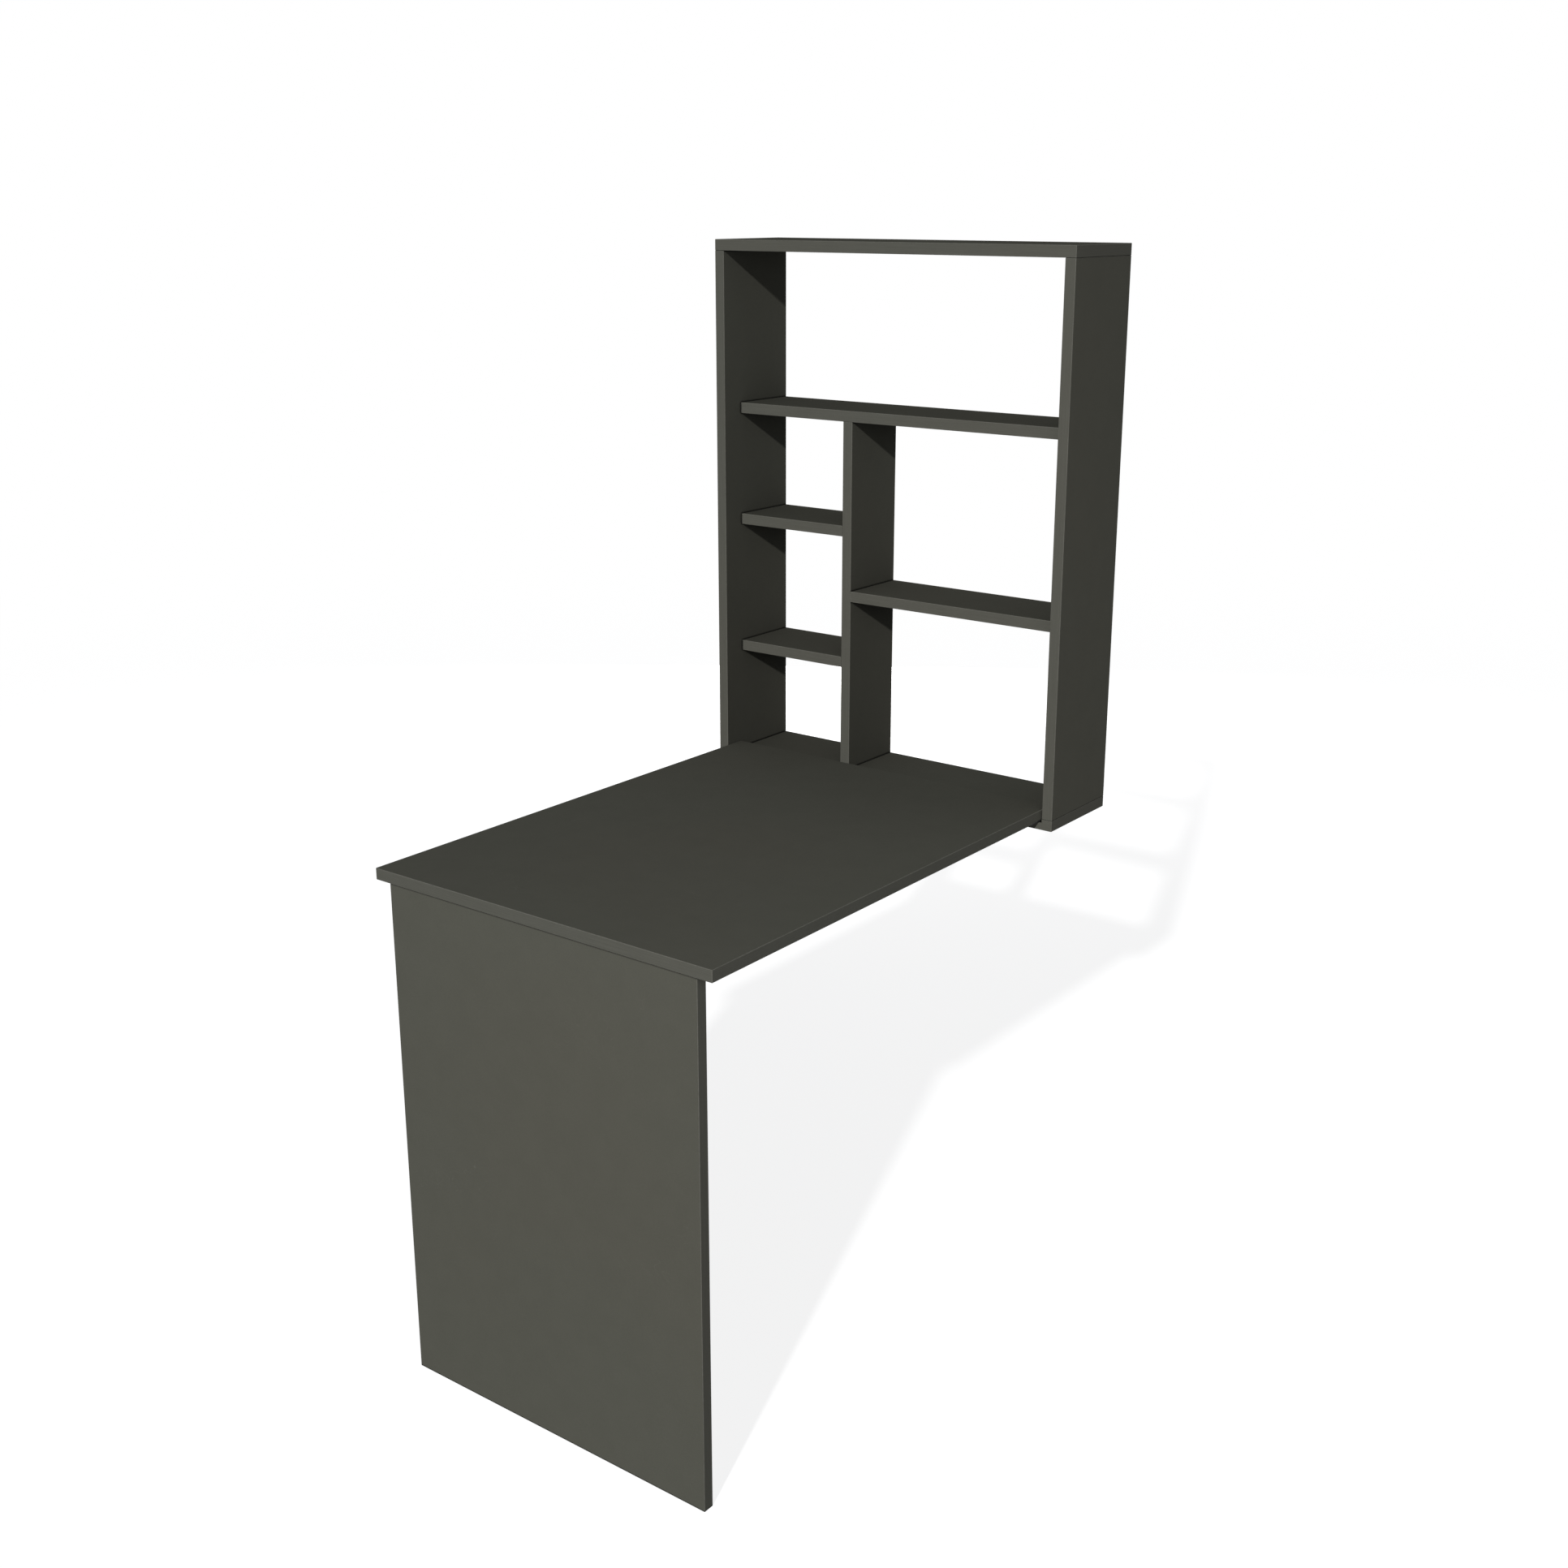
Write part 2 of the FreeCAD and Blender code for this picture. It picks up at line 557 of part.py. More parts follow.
def make_leg_hinges():
    """Butt hinges between the desk's underside and the leg's inner face."""
    last = leg_half - HINGE_END
    flipped = FreeCAD.Rotation(point(0, 1, -1), 180)
    face = hinge_offset - LEAF
    offsets = [(place - (LEAF_SCREWS - 1) / 2) * LEAF_SCREW_PITCH for place in range(LEAF_SCREWS)]
    heads = [point(x, LEAF_SCREW_LINE, face) for x in offsets]
    screws = [screw(head, UP, HINGE_SCREW) for head in heads]
    cutters = [screw_hole(head, UP, HINGE_SCREW) for head in heads]
    even = range(0, KNUCKLES, 2)
    odd = range(1, KNUCKLES, 2)
    for place in range(HINGE_COUNT):
        x = -last + place * 2 * last / (HINGE_COUNT - 1)
        axis = point(x, hinge_y, hinge_z)
        under_desk = FreeCAD.Placement(axis, FreeCAD.Rotation())
        behind_leg = FreeCAD.Placement(axis, flipped)
        add("leg_hinge_desk_leaves", hinge_leaf(even, cutters).transformed(under_desk.Matrix))
        add("leg_hinge_leg_leaves", hinge_leaf(odd, cutters).transformed(behind_leg.Matrix))
        add("desk_leaf_screws", *[s.transformed(under_desk.Matrix) for s in screws])
        add("leg_leaf_screws", *[s.transformed(behind_leg.Matrix) for s in screws])
        cut_from(("desk_board",), *[c.transformed(under_desk.Matrix) for c in cutters])
        cut_from(("leg_board",), *[c.transformed(behind_leg.Matrix) for c in cutters])
        pin_start = axis - RIGHT * (HINGE_LENGTH / 2)
        add("leg_hinge_pins", rod(pin_start, RIGHT, HINGE_PIN_RADIUS, HINGE_LENGTH))


# ---------------------------------------------------------------- slide bolts
def make_slide_bolt(side, word):
    """A flat bar in two straps under the desk's margin, thrown forward into the top board when folded."""
    front = desk_front + CASE_FRONT
    sheet_under = desk_under - CASE_SHEET
    strap_half = BAR_WIDTH / 2 + BAR_PLAY + CASE_SHEET
    slot_half = BAR_WIDTH / 2 + BAR_PLAY
    slot_under = bar_under - BAR_PLAY
    case = sided_box(
        side, bolt_x - CASE_INBOARD, bolt_x + CASE_OUTBOARD, front, front + CASE_LENGTH,
        sheet_under, desk_under,
    )
    for start in STRAP_STARTS:
        y0 = front + start
        y1 = y0 + STRAP_LENGTH
        strap = sided_box(
            side, bolt_x - strap_half, bolt_x + strap_half, y0, y1, slot_under - CASE_SHEET, sheet_under
        )
        slot = sided_box(side, bolt_x - slot_half, bolt_x + slot_half, y0, y1, slot_under, sheet_under)
        case = fused(case, strap.cut(slot))
    screw_x = bolt_x + CASE_OUTBOARD - CASE_SCREW_EDGE
    for place in CASE_SCREW_PLACES:
        head = point(side * screw_x, front + place, sheet_under)
        add("bolt_case_screws", screw(head, UP, CASE_SCREW))
        cutter = screw_hole(head, UP, CASE_SCREW)
        case = case.cut(cutter)
        cut_from(("desk_board",), cutter)
    add(word + "_bolt_case", case)

    tip = desk_front + BAR_SETBACK
    bar = sided_box(
        side, bolt_x - BAR_WIDTH / 2, bolt_x + BAR_WIDTH / 2, tip, tip + BAR_LENGTH, bar_under, bar_top
    )
    stem_top = point(side * bolt_x, tip + KNOB_BACK, bar_top)
    stem = rod(stem_top, -UP, KNOB_STEM_RADIUS, BAR_THICKNESS)
    add(word + "_bolt_bar", bar.cut(stem))
    knob_top = point(side * bolt_x, tip + KNOB_BACK, bar_under)
    knob = rod(knob_top, -UP, KNOB_RADIUS, KNOB_HEIGHT)
    rim = [e for e in knob.Edges if e.Closed and abs(e.CenterOfMass.z - knob_top.z) > KNOB_HEIGHT / 2]
    knob = fused(knob.makeFillet(KNOB_RIM_ROUND, rim), stem)
    add(word + "_bolt_knob", knob)


def make_keeper(side):
    """A slotted plate let into the top board's underside, over the mortise that the bar enters."""
    y = folded_under_y - (desk_under - (bar_top + bar_under) / 2)
    half_slot = BAR_WIDTH / 2 + KEEPER_PLAY
    slot_reach = BAR_THICKNESS / 2 + KEEPER_PLAY
    plate_top = head_under + KEEPER_SHEET
    blank = sided_box(
        side, bolt_x - KEEPER_LENGTH / 2, bolt_x + KEEPER_LENGTH / 2,
        y - KEEPER_WIDTH / 2, y + KEEPER_WIDTH / 2, head_under, plate_top,
    )
    slot = sided_box(
        side, bolt_x - half_slot, bolt_x + half_slot, y - slot_reach, y + slot_reach,
        head_under, head_under + mortise_depth,
    )
    plate = blank.cut(slot)
    cut_from(("top_board",), blank, slot)
    for way in (-1, 1):
        head = point(side * bolt_x + way * KEEPER_SCREW_SPACING / 2, y, head_under)
        add("keeper_screws", screw(head, UP, KEEPER_SCREW))
        cutter = screw_hole(head, UP, KEEPER_SCREW)
        plate = plate.cut(cutter)
        cut_from(("top_board",), cutter)
    add("bolt_keepers", plate)


# ---------------------------------------------------------------- build and export
def make_rebate():
    rebate = box(-inner_half, inner_half, cabinet_front, shelf_front, rebate_floor, bottom_top)
    cut_from(("bottom_board",), rebate)


def export(folder):
    os.makedirs(folder, exist_ok=True)
    for node, solids in pieces.items():
        parts = [solid for shape in solids for solid in shape.Solids]
        shape = parts[0] if len(parts) == 1 else Part.makeCompound(parts)
        shape.exportStep(os.path.join(folder, node + ".step"))
        print(node, len(parts), round(shape.Volume, 1))


make_joinery()
make_keyholes()
make_rebate()
make_rest_pads()
for side, word in ((-1, "left"), (1, "right")):
    make_cabinet_pivot(side, word + "_cabinet_pivot")
    make_desk_pivot(side, word + "_desk_pivot")
    make_slide_bolt(side, word)
    make_keeper(side)
make_leg_hinges()
make_boards()
export("parts")
print("desk pivot y, z:", pivot_y, pivot_z)
print("leg hinge y, z:", hinge_y, hinge_z)
print("slide bolt travel:", bolt_travel)
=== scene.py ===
# %% [markdown]
# # A fold down wall desk, dressed and lit
#
# The shapes come from a finished CAD model. An open cabinet hangs on a wall, a desk board turns
# down from it, and a panel leg hangs under the front of the desk. This lesson gives the model its
# materials, makes the small turned pieces again in finer detail, and lights the whole.
#
# Every CAD node keeps its place and its mesh, and each piece made here rides on one of the model's
# bodies, so that it moves when the desk folds.

# %% Load the model
import json
import math

import bmesh
import bpy
import numpy as np
from mathutils import Euler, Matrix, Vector

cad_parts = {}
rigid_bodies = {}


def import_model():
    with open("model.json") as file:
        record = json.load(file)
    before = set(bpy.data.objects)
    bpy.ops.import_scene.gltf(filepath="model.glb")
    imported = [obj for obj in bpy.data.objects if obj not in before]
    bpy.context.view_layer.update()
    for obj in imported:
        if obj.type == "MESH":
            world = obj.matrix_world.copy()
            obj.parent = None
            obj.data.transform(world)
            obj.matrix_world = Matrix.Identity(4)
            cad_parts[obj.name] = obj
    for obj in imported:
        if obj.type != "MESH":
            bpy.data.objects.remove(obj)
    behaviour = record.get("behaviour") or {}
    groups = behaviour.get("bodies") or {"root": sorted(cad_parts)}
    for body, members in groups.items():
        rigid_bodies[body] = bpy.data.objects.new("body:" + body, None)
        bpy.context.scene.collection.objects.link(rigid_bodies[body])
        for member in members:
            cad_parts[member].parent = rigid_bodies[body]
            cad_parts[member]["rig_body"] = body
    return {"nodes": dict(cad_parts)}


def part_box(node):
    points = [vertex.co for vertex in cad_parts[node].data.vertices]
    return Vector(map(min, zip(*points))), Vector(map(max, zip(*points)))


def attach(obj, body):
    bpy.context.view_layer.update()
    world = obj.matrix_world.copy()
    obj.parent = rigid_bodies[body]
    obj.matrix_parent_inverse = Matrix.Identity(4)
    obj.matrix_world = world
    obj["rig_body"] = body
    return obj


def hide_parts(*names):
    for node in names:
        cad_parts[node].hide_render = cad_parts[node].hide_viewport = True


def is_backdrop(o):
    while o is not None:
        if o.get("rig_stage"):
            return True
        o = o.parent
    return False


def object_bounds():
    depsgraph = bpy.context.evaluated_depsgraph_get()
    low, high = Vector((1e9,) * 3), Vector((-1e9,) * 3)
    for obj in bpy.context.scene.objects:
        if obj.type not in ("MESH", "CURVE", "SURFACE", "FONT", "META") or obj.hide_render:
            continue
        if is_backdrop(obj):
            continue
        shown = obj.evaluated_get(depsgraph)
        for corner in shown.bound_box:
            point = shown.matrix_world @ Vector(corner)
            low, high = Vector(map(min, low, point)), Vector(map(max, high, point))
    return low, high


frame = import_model()
cad_low, cad_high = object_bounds()
nodes = frame["nodes"]
print("CAD box in metres:", [round(c, 4) for c in (*cad_low, *cad_high)])

# %% [markdown]
# ## Small helpers
#
# Node trees read best when one line makes one node. `put` makes a node, gives it its settings and
# fills its inputs, with a number or with another node's output, and `out` hands over its first
# output. `calc` does the same for sums on numbers, with `plus`, `minus` and `times` for the common
# ones, and `along` for sums on vectors. Colours are written as 0 to 255, as a painter's chart gives
# them, and `light_of` turns them into the light values that the renderer works in.

# %% Colours and lengths
MM = 0.001


def light_of(red, green, blue):
    """A colour written in 0 to 255, as light values with an alpha of 1."""
    shares = [part / 255 for part in (red, green, blue)]
    linear = [s / 12.92 if s <= 0.04045 else ((s + 0.055) / 1.055) ** 2.4 for s in shares]
    return (*linear, 1.0)


BOARD_GREY = light_of(90, 90, 82)
STRIP_GREY = light_of(89, 89, 82)
# Paler arrises: partly wear, partly a painted highlight.
ARRIS_WEAR_AND_HIGHLIGHT_GREY = light_of(128, 127, 119)
SCRATCHED_GREY = light_of(150, 149, 142)
print("the boards' grey as light:", [round(c, 3) for c in BOARD_GREY])

# %% Helpers for nodes
def put(tree, kind, inputs=None, **settings):
    """One new node of a kind, with its settings, and its inputs by name or number."""
    made = tree.nodes.new(kind)
    for name, value in settings.items():
        setattr(made, name, value)
    for key, value in (inputs or {}).items():
        if isinstance(value, bpy.types.NodeSocket):
            tree.links.new(value, made.inputs[key])
        else:
            made.inputs[key].default_value = value
    return made


def out(tree, kind, inputs=None, **settings):
    """The first output of a new node."""
    return put(tree, kind, inputs, **settings).outputs[0]


def calc(tree, operation, *values):
    return out(tree, "ShaderNodeMath", dict(enumerate(values)), operation=operation)


def plus(tree, first, second):
    return calc(tree, "ADD", first, second)


def minus(tree, first, second):
    return calc(tree, "SUBTRACT", first, second)


def times(tree, first, second):
    return calc(tree, "MULTIPLY", first, second)


def along(tree, operation, *values):
    return out(tree, "ShaderNodeVectorMath", dict(enumerate(values)), operation=operation)


def scaled(tree, vector, factor):
    """A vector or a colour times a number."""
    return out(tree, "ShaderNodeVectorMath", {0: vector, "Scale": factor}, operation="SCALE")


def split(tree, vector):
    return put(tree, "ShaderNodeSeparateXYZ", {0: vector}).outputs


def joined(tree, x, y, z):
    return out(tree, "ShaderNodeCombineXYZ", {0: x, 1: y, 2: z})


def ramp(tree, value, start, end, low, high, way="LINEAR"):
    """A ramp: low where value is at start, high where it is at end."""
    limits = {0: value, 1: start, 2: end, 3: low, 4: high}
    return out(tree, "ShaderNodeMapRange", limits, interpolation_type=way)


def step(tree, value, start, end, low=0.0, high=1.0):
    """A ramp with soft ends."""
    return ramp(tree, value, start, end, low, high, "SMOOTHSTEP")


def spread(tree, pattern, low=0.0, high=1.0):
    """A noise spread from low to high. Most of a noise lies between 0.3 and 0.7."""
    return step(tree, pattern, 0.3, 0.7, low, high)


def mixed(tree, share, first, second, way="MIX"):
    """Two colours mixed. Inputs 6 and 7 and output 2 are the colour sockets of a Mix node."""
    inputs = {0: share, 6: first, 7: second}
    return put(tree, "ShaderNodeMix", inputs, data_type="RGBA", blend_type=way).outputs[2]


def blended(tree, share, first, second):
    """Two numbers mixed. Their sockets on a Mix node are inputs 2 and 3 and output 0."""
    return out(tree, "ShaderNodeMix", {0: share, 2: first, 3: second})


def noise(tree, where, scale, detail=2.0, roughness=0.5):
    inputs = {"Vector": where, "Scale": scale, "Detail": detail, "Roughness": roughness}
    return out(tree, "ShaderNodeTexNoise", inputs)


# %% Helper for groups
FLOAT, VECTOR, COLOUR = "NodeSocketFloat", "NodeSocketVector", "NodeSocketColor"
FINISH = [("Colour", COLOUR), ("Roughness", FLOAT), ("Height", FLOAT)]
METAL_FINISH = [*FINISH, ("Metallic", FLOAT)]


def new_group(name, inputs, outputs, family="ShaderNodeTree"):
    """An empty node group. It gives back the tree, what comes into it and what it puts out."""
    tree = bpy.data.node_groups.new(name, family)
    for label, kind, value in inputs:
        socket = tree.interface.new_socket(label, in_out="INPUT", socket_type=kind)
        if value is not None:
            socket.default_value = value
    for label, kind in outputs:
        tree.interface.new_socket(label, in_out="OUTPUT", socket_type=kind)
    return tree, tree.nodes.new("NodeGroupInput").outputs, tree.nodes.new("NodeGroupOutput").inputs


def use(tree, group, **inputs):
    """A group placed in a tree. Its inputs are named with _ for a space."""
    named = {name.replace("_", " "): value for name, value in inputs.items()}
    return put(tree, "ShaderNodeGroup", named, node_tree=group).outputs


def object_place(tree):
    return tree.nodes.new("ShaderNodeTexCoord").outputs["Object"]


def in_millimetres(tree):
    return scaled(tree, object_place(tree), 1 / MM)


def openness_within(tree, reach, rays):
    """How much of its surroundings a point can see within a reach, from 0 to 1."""
    inputs = {"Distance": reach}
    return put(tree, "ShaderNodeAmbientOcclusion", inputs, samples=rays).outputs["AO"]


# %% [markdown]
# ## The camera
#
# The desk is seen from its right front corner, a little above the shelves. The lens is slightly
# long, so the upright boards stay nearly upright. A turn and a tilt, given as two angles, aim it.

# %% Camera
CAMERA_PLACE = (1.53689, -2.39434, 0.45614)
CAMERA_TURN = math.radians(37.320)      # to the left of straight into the wall
CAMERA_TILT = math.radians(17.1665)     # below the horizon
FOCAL_LENGTH_IN_PIXELS = 2340.62
IMAGE_WIDTH = 1932
SENSOR = 36.0


def new_object(name, data):
    """A new object in the scene."""
    made = bpy.data.objects.new(name, data)
    bpy.context.scene.collection.objects.link(made)
    return made


camera_data = bpy.data.cameras.new("camera")
camera_data.sensor_width = SENSOR
camera_data.lens = FOCAL_LENGTH_IN_PIXELS / IMAGE_WIDTH * SENSOR
camera = new_object("camera", camera_data)
camera.location = CAMERA_PLACE
camera.rotation_euler = Euler((math.pi / 2 - CAMERA_TILT, 0, CAMERA_TURN))
bpy.context.scene.camera = camera
print("lens in mm:", round(camera_data.lens, 3))

# %% [markdown]
# ## Light, floor and white surround
#
# A sun stands high to the front right, so fronts are bright, tops and right sides are darker, and
# each shelf throws a crisp slanting shadow on the board beside it. A sun's rays are parallel, which
# keeps that slant the same from top to bottom. A wide lamp in front and a smaller one on the right
# soften it, and a small one over the desk's front makes the top paler there than at the cabinet.
# One behind lets the back be seen. The rest is an even light from all round, kept low so that the
# shadows stay deep.
#
# White all round could come from strong light, but that would wash out dark boards. Here only the
# camera, mirrors and glass see white: the world and the floor look at the Light Path. The floor is
# a wide disc that keeps the desk's soft shadow and fades into the white far out. From below, it is
# clear, so that a camera under it sees the undersides.

# %% Plain view of colours
bpy.context.scene.view_settings.view_transform = "Standard"
print("colours are shown by:", bpy.context.scene.view_settings.view_transform)

# %% Sun
SUN_DIRECTION = Vector((0.302, -0.827, 0.475))      # from the desk towards the sun
SUN_SHARE = 0.78
SUN_ANGLE = math.radians(1.8)

sun_data = bpy.data.lights.new("sun", "SUN")
sun_data.energy = math.pi * SUN_SHARE       # at pi, a colour facing the sun renders as written
sun_data.angle = SUN_ANGLE
sun = new_object("sun", sun_data)
sun.rotation_euler = (-SUN_DIRECTION).to_track_quat("-Z", "Y").to_euler()
print("shadows fall at a slope of", round(SUN_DIRECTION.z / -SUN_DIRECTION.y, 3))

# %% Soft lamps
LAMPS = {       # name: direction from the desk, distance, size, share
    "front_lamp": ((0.15, -1.0, -0.25), 2.2, 1.5, 0.07),
    "desk_lamp": ((0.3, -1.2, 0.75), 1.4, 0.5, 0.06),
    "right_lamp": ((1.0, -0.6, 0.45), 1.8, 0.9, 0.12),
    "back_lamp": ((-0.7, 1.0, -0.12), 4.0, 1.0, 0.45),
}
for name, (direction, distance, size, share) in LAMPS.items():
    data = bpy.data.lights.new(name, "AREA")
    data.size = size
    data.energy = (math.pi * distance) ** 2 * share     # at 1, a colour facing it renders as written
    made = new_object(name, data)
    made.location = (cad_low + cad_high) / 2 + Vector(direction).normalized() * distance
    made.rotation_euler = (-Vector(direction)).to_track_quat("-Z", "Y").to_euler()
    made.visible_camera = False
    print(name, "watts:", round(data.energy, 1))

# %% World
AROUND = 0.06                   # even light from all round
COOL = (0.88, 0.95, 1.15, 1)    # its tint, which shows only in the shadows
WHITE = (1, 1, 1, 1)

world = bpy.data.worlds.new("surround")
bpy.context.scene.world = world
world.use_nodes = True
world.node_tree.nodes.clear()


def sees_white(tree):
    """1 for what the camera sees straight, in a mirror or through glass, and 0 for the rest."""
    path = tree.nodes.new("ShaderNodeLightPath")
    mirrored = calc(tree, "MAXIMUM", path.outputs["Is Glossy Ray"], path.outputs["Is Transmission Ray"])
    return calc(tree, "MAXIMUM", path.outputs["Is Camera Ray"], mirrored)


tree = world.node_tree
seen = sees_white(tree)
strength = ramp(tree, seen, 0.0, 1.0, AROUND, 1.0)
tint = mixed(tree, seen, COOL, WHITE)
background = out(tree, "ShaderNodeBackground", {"Color": tint, "Strength": strength})
put(tree, "ShaderNodeOutputWorld", {"Surface": background})
print("even light:", AROUND)

# %% Floor
FLOOR_RADIUS = 9.0
FLOOR_CORNERS = 96
FLOOR_PALE = 0.35           # how much of the light the floor gives back
FLOOR_LIFT = 0.84           # white added for the eye only
FADE_START, FADE_END = 2.0, 6.0

rim = [
    (FLOOR_RADIUS * math.cos(turn), FLOOR_RADIUS * math.sin(turn), cad_low.z)
    for turn in np.linspace(0, 2 * math.pi, FLOOR_CORNERS, endpoint=False)
]
floor_mesh = bpy.data.meshes.new("floor")
floor_mesh.from_pydata(rim, [], [list(range(len(rim)))])
floor = new_object("floor", floor_mesh)
floor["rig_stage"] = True

pale = bpy.data.materials.new("pale_floor")
pale.use_nodes = True
tree = pale.node_tree
tree.nodes.clear()
matt = out(tree, "ShaderNodeBsdfDiffuse", {"Color": (FLOOR_PALE,) * 3 + (1,)})
lift = out(tree, "ShaderNodeEmission", {"Strength": FLOOR_LIFT})
lifted = out(tree, "ShaderNodeAddShader", {0: matt, 1: lift})
white = out(tree, "ShaderNodeEmission", {"Strength": 1.0})
flat_place = along(tree, "MULTIPLY", object_place(tree), (1, 1, 0))
away = put(tree, "ShaderNodeVectorMath", {0: flat_place}, operation="LENGTH").outputs["Value"]
far = step(tree, away, FADE_START, FADE_END)
faded = out(tree, "ShaderNodeMixShader", {0: far, 1: lifted, 2: white})
from_above = out(tree, "ShaderNodeMixShader", {0: sees_white(tree), 1: matt, 2: faded})
clear = out(tree, "ShaderNodeBsdfTransparent")
from_below = tree.nodes.new("ShaderNodeNewGeometry").outputs["Backfacing"]
seen = out(tree, "ShaderNodeMixShader", {0: from_below, 1: from_above, 2: clear})
put(tree, "ShaderNodeOutputMaterial", {"Surface": seen})
floor_mesh.materials.append(pale)
print("floor height:", round(cad_low.z, 4))

# %% [markdown]
# ## Where on a board a point lies
#
# The boards are particle board with a matt dark facing, and plastic strips on the edges that show.
# Bores and unedged back edges show the bare chips. One material can do all of that, if it knows how
# far a point is from the nearest arris, and how deep it lies under the board's outer faces. Both
# follow from the board's middle and half its size, so this group needs no painted mask and no
# texture map. Distances come out in millimetres.

# %% Group: arris distance
SKIN = 0.3      # a point nearer than this to an outer face, in millimetres, counts as on it
BOARD_PLACE = [("Centre", VECTOR, (0, 0, 0)), ("Half Size", VECTOR, (1, 1, 1))]

arris_distance, given, result = new_group(
    "arris_distance", BOARD_PLACE, [("Edge", FLOAT), ("Depth", FLOAT), ("Behind", FLOAT)])
tree = arris_distance
from_centre = along(tree, "SUBTRACT", object_place(tree), given["Centre"])
inside = along(tree, "SUBTRACT", given["Half Size"], along(tree, "ABSOLUTE", from_centre))
x, y, z = split(tree, scaled(tree, inside, 1 / MM))
least = calc(tree, "MINIMUM", calc(tree, "MINIMUM", x, y), z)
most = calc(tree, "MAXIMUM", calc(tree, "MAXIMUM", x, y), z)
total = plus(tree, plus(tree, x, y), z)
middle = minus(tree, minus(tree, total, least), most)
tree.links.new(middle, result["Edge"])
tree.links.new(least, result["Depth"])
on_face = calc(tree, "LESS_THAN", y, SKIN)
towards_wall = calc(tree, "GREATER_THAN", split(tree, from_centre)[1], 0)
tree.links.new(times(tree, on_face, towards_wall), result["Behind"])
print("group:", tree.name)

# %% [markdown]
# ## Bare particle board
#
# Particle board is flat flakes of wood, pressed and glued. Cut across, the flakes are short
# streaks along the board, pale and brown by turns, with dark gaps between them. A Voronoi texture
# gives each flake its own cell. Dividing the place by the flake's size stretches the cells.

# %% Group: particle board
particle_board, given, result = new_group(
    "particle_board",
    [("Flake", VECTOR, (6, 6, 1)), ("Paint", FLOAT, 0.0), ("Paint Colour", COLOUR, BOARD_GREY)],
    [("Colour", COLOUR), ("Height", FLOAT)],
)
tree = particle_board
in_mm = in_millimetres(tree)
bent = put(tree, "ShaderNodeTexNoise", {"Vector": in_mm, "Scale": 0.15, "Detail": 1.0}).outputs["Color"]
wavy = along(tree, "ADD", in_mm, along(tree, "MULTIPLY", bent, (1.5, 1.5, 1.5)))
flake_place = along(tree, "DIVIDE", wavy, given["Flake"])
cells = put(tree, "ShaderNodeTexVoronoi", {"Vector": flake_place, "Scale": 1.0}).outputs["Color"]
gaps = put(
    tree, "ShaderNodeTexVoronoi", {"Vector": flake_place, "Scale": 1.0}, feature="DISTANCE_TO_EDGE"
).outputs["Distance"]
flake_tone = out(tree, "ShaderNodeSeparateColor", {0: cells})
flakes = mixed(tree, flake_tone, light_of(205, 178, 138), light_of(140, 106, 70))
fibre = noise(tree, flake_place, 2.6, 4.0, 0.65)
fibred = mixed(tree, 0.45, flakes, mixed(tree, fibre, light_of(120, 90, 60), light_of(225, 200, 160)))
gap_mask = step(tree, gaps, 0.0, 0.07, 0.35, 1.0)
gapped = mixed(tree, gap_mask, light_of(92, 70, 48), fibred)
tree.links.new(mixed(tree, given["Paint"], gapped, given["Paint Colour"]), result["Colour"])
tree.links.new(times(tree, gap_mask, flake_tone), result["Height"])
print("group:", tree.name)

# %% [markdown]
# ## The matt facing
#
# The facing is a printed paper sealed in resin, in one warm dark grey. Its press plate leaves a
# fine grain like the skin of a pearl. Seen closely it is never quite even: the tone drifts a little
# over a hand's width, the arrises are painted paler, partly as rubbed wear and partly as a painted
# highlight, and hands and books leave hairlines that catch the light. Four things are mixed here,
# each weak: drift, grain, paler arrises and hairlines.

# %% Group: matt facing
matt_facing, given, result = new_group(
    "matt_facing",
    [("Colour", COLOUR, BOARD_GREY), ("Edge", FLOAT, 50.0), ("Drift", FLOAT, 0.3)],
    FINISH,
)
tree = matt_facing
place = object_place(tree)
wide = noise(tree, place, 2.2, 1.0)
cloud = noise(tree, place, 26.0, 3.0, 0.6)
speck = noise(tree, place, 1400.0, 1.0)
warmer = mixed(tree, 1.0, given["Colour"], (1.04, 0.975, 0.955, 1), "MULTIPLY")
drift_share = times(tree, step(tree, wide, 0.38, 0.62), given["Drift"])
drifted = mixed(tree, drift_share, given["Colour"], warmer)
tone = plus(tree, spread(tree, cloud, 0.985, 1.015), spread(tree, speck, -0.03, 0.03))
toned = scaled(tree, drifted, tone)
ragged = times(tree, noise(tree, place, 220.0, 3.0), 2.2)
arris_wear_and_highlight = minus(tree, 1.0, step(tree, given["Edge"], 0.1, ragged))
bent = put(tree, "ShaderNodeTexNoise", {"Vector": place, "Scale": 9.0}).outputs["Color"]
hair_place = along(tree, "ADD", place, bent)
hairs = put(
    tree, "ShaderNodeTexVoronoi", {"Vector": hair_place, "Scale": 17.0}, feature="DISTANCE_TO_EDGE"
).outputs["Distance"]
where_handled = step(tree, noise(tree, place, 7.0, 2.0), 0.55, 0.72)
hairline = times(tree, step(tree, hairs, 0.006, 0.001), where_handled)
# Painted highlight and wear: the arrises are made paler.
wear_and_highlight_colour = mixed(tree, times(tree, arris_wear_and_highlight, 0.35), toned, ARRIS_WEAR_AND_HIGHLIGHT_GREY)
final = mixed(tree, times(tree, hairline, 0.12), wear_and_highlight_colour, SCRATCHED_GREY)
tree.links.new(final, result["Colour"])
sheen = plus(tree, spread(tree, cloud, 0.56, 0.64), spread(tree, speck, -0.04, 0.04))
polished = minus(tree, sheen, times(tree, plus(tree, arris_wear_and_highlight, hairline), 0.08))
tree.links.new(polished, result["Roughness"])
pearl = noise(tree, place, 1900.0, 2.0)
swell = noise(tree, place, 420.0, 1.0)
grain = plus(tree, times(tree, pearl, 0.7), times(tree, swell, 0.6))
tree.links.new(minus(tree, grain, times(tree, hairline, 0.5)), result["Height"])
print("group:", tree.name)
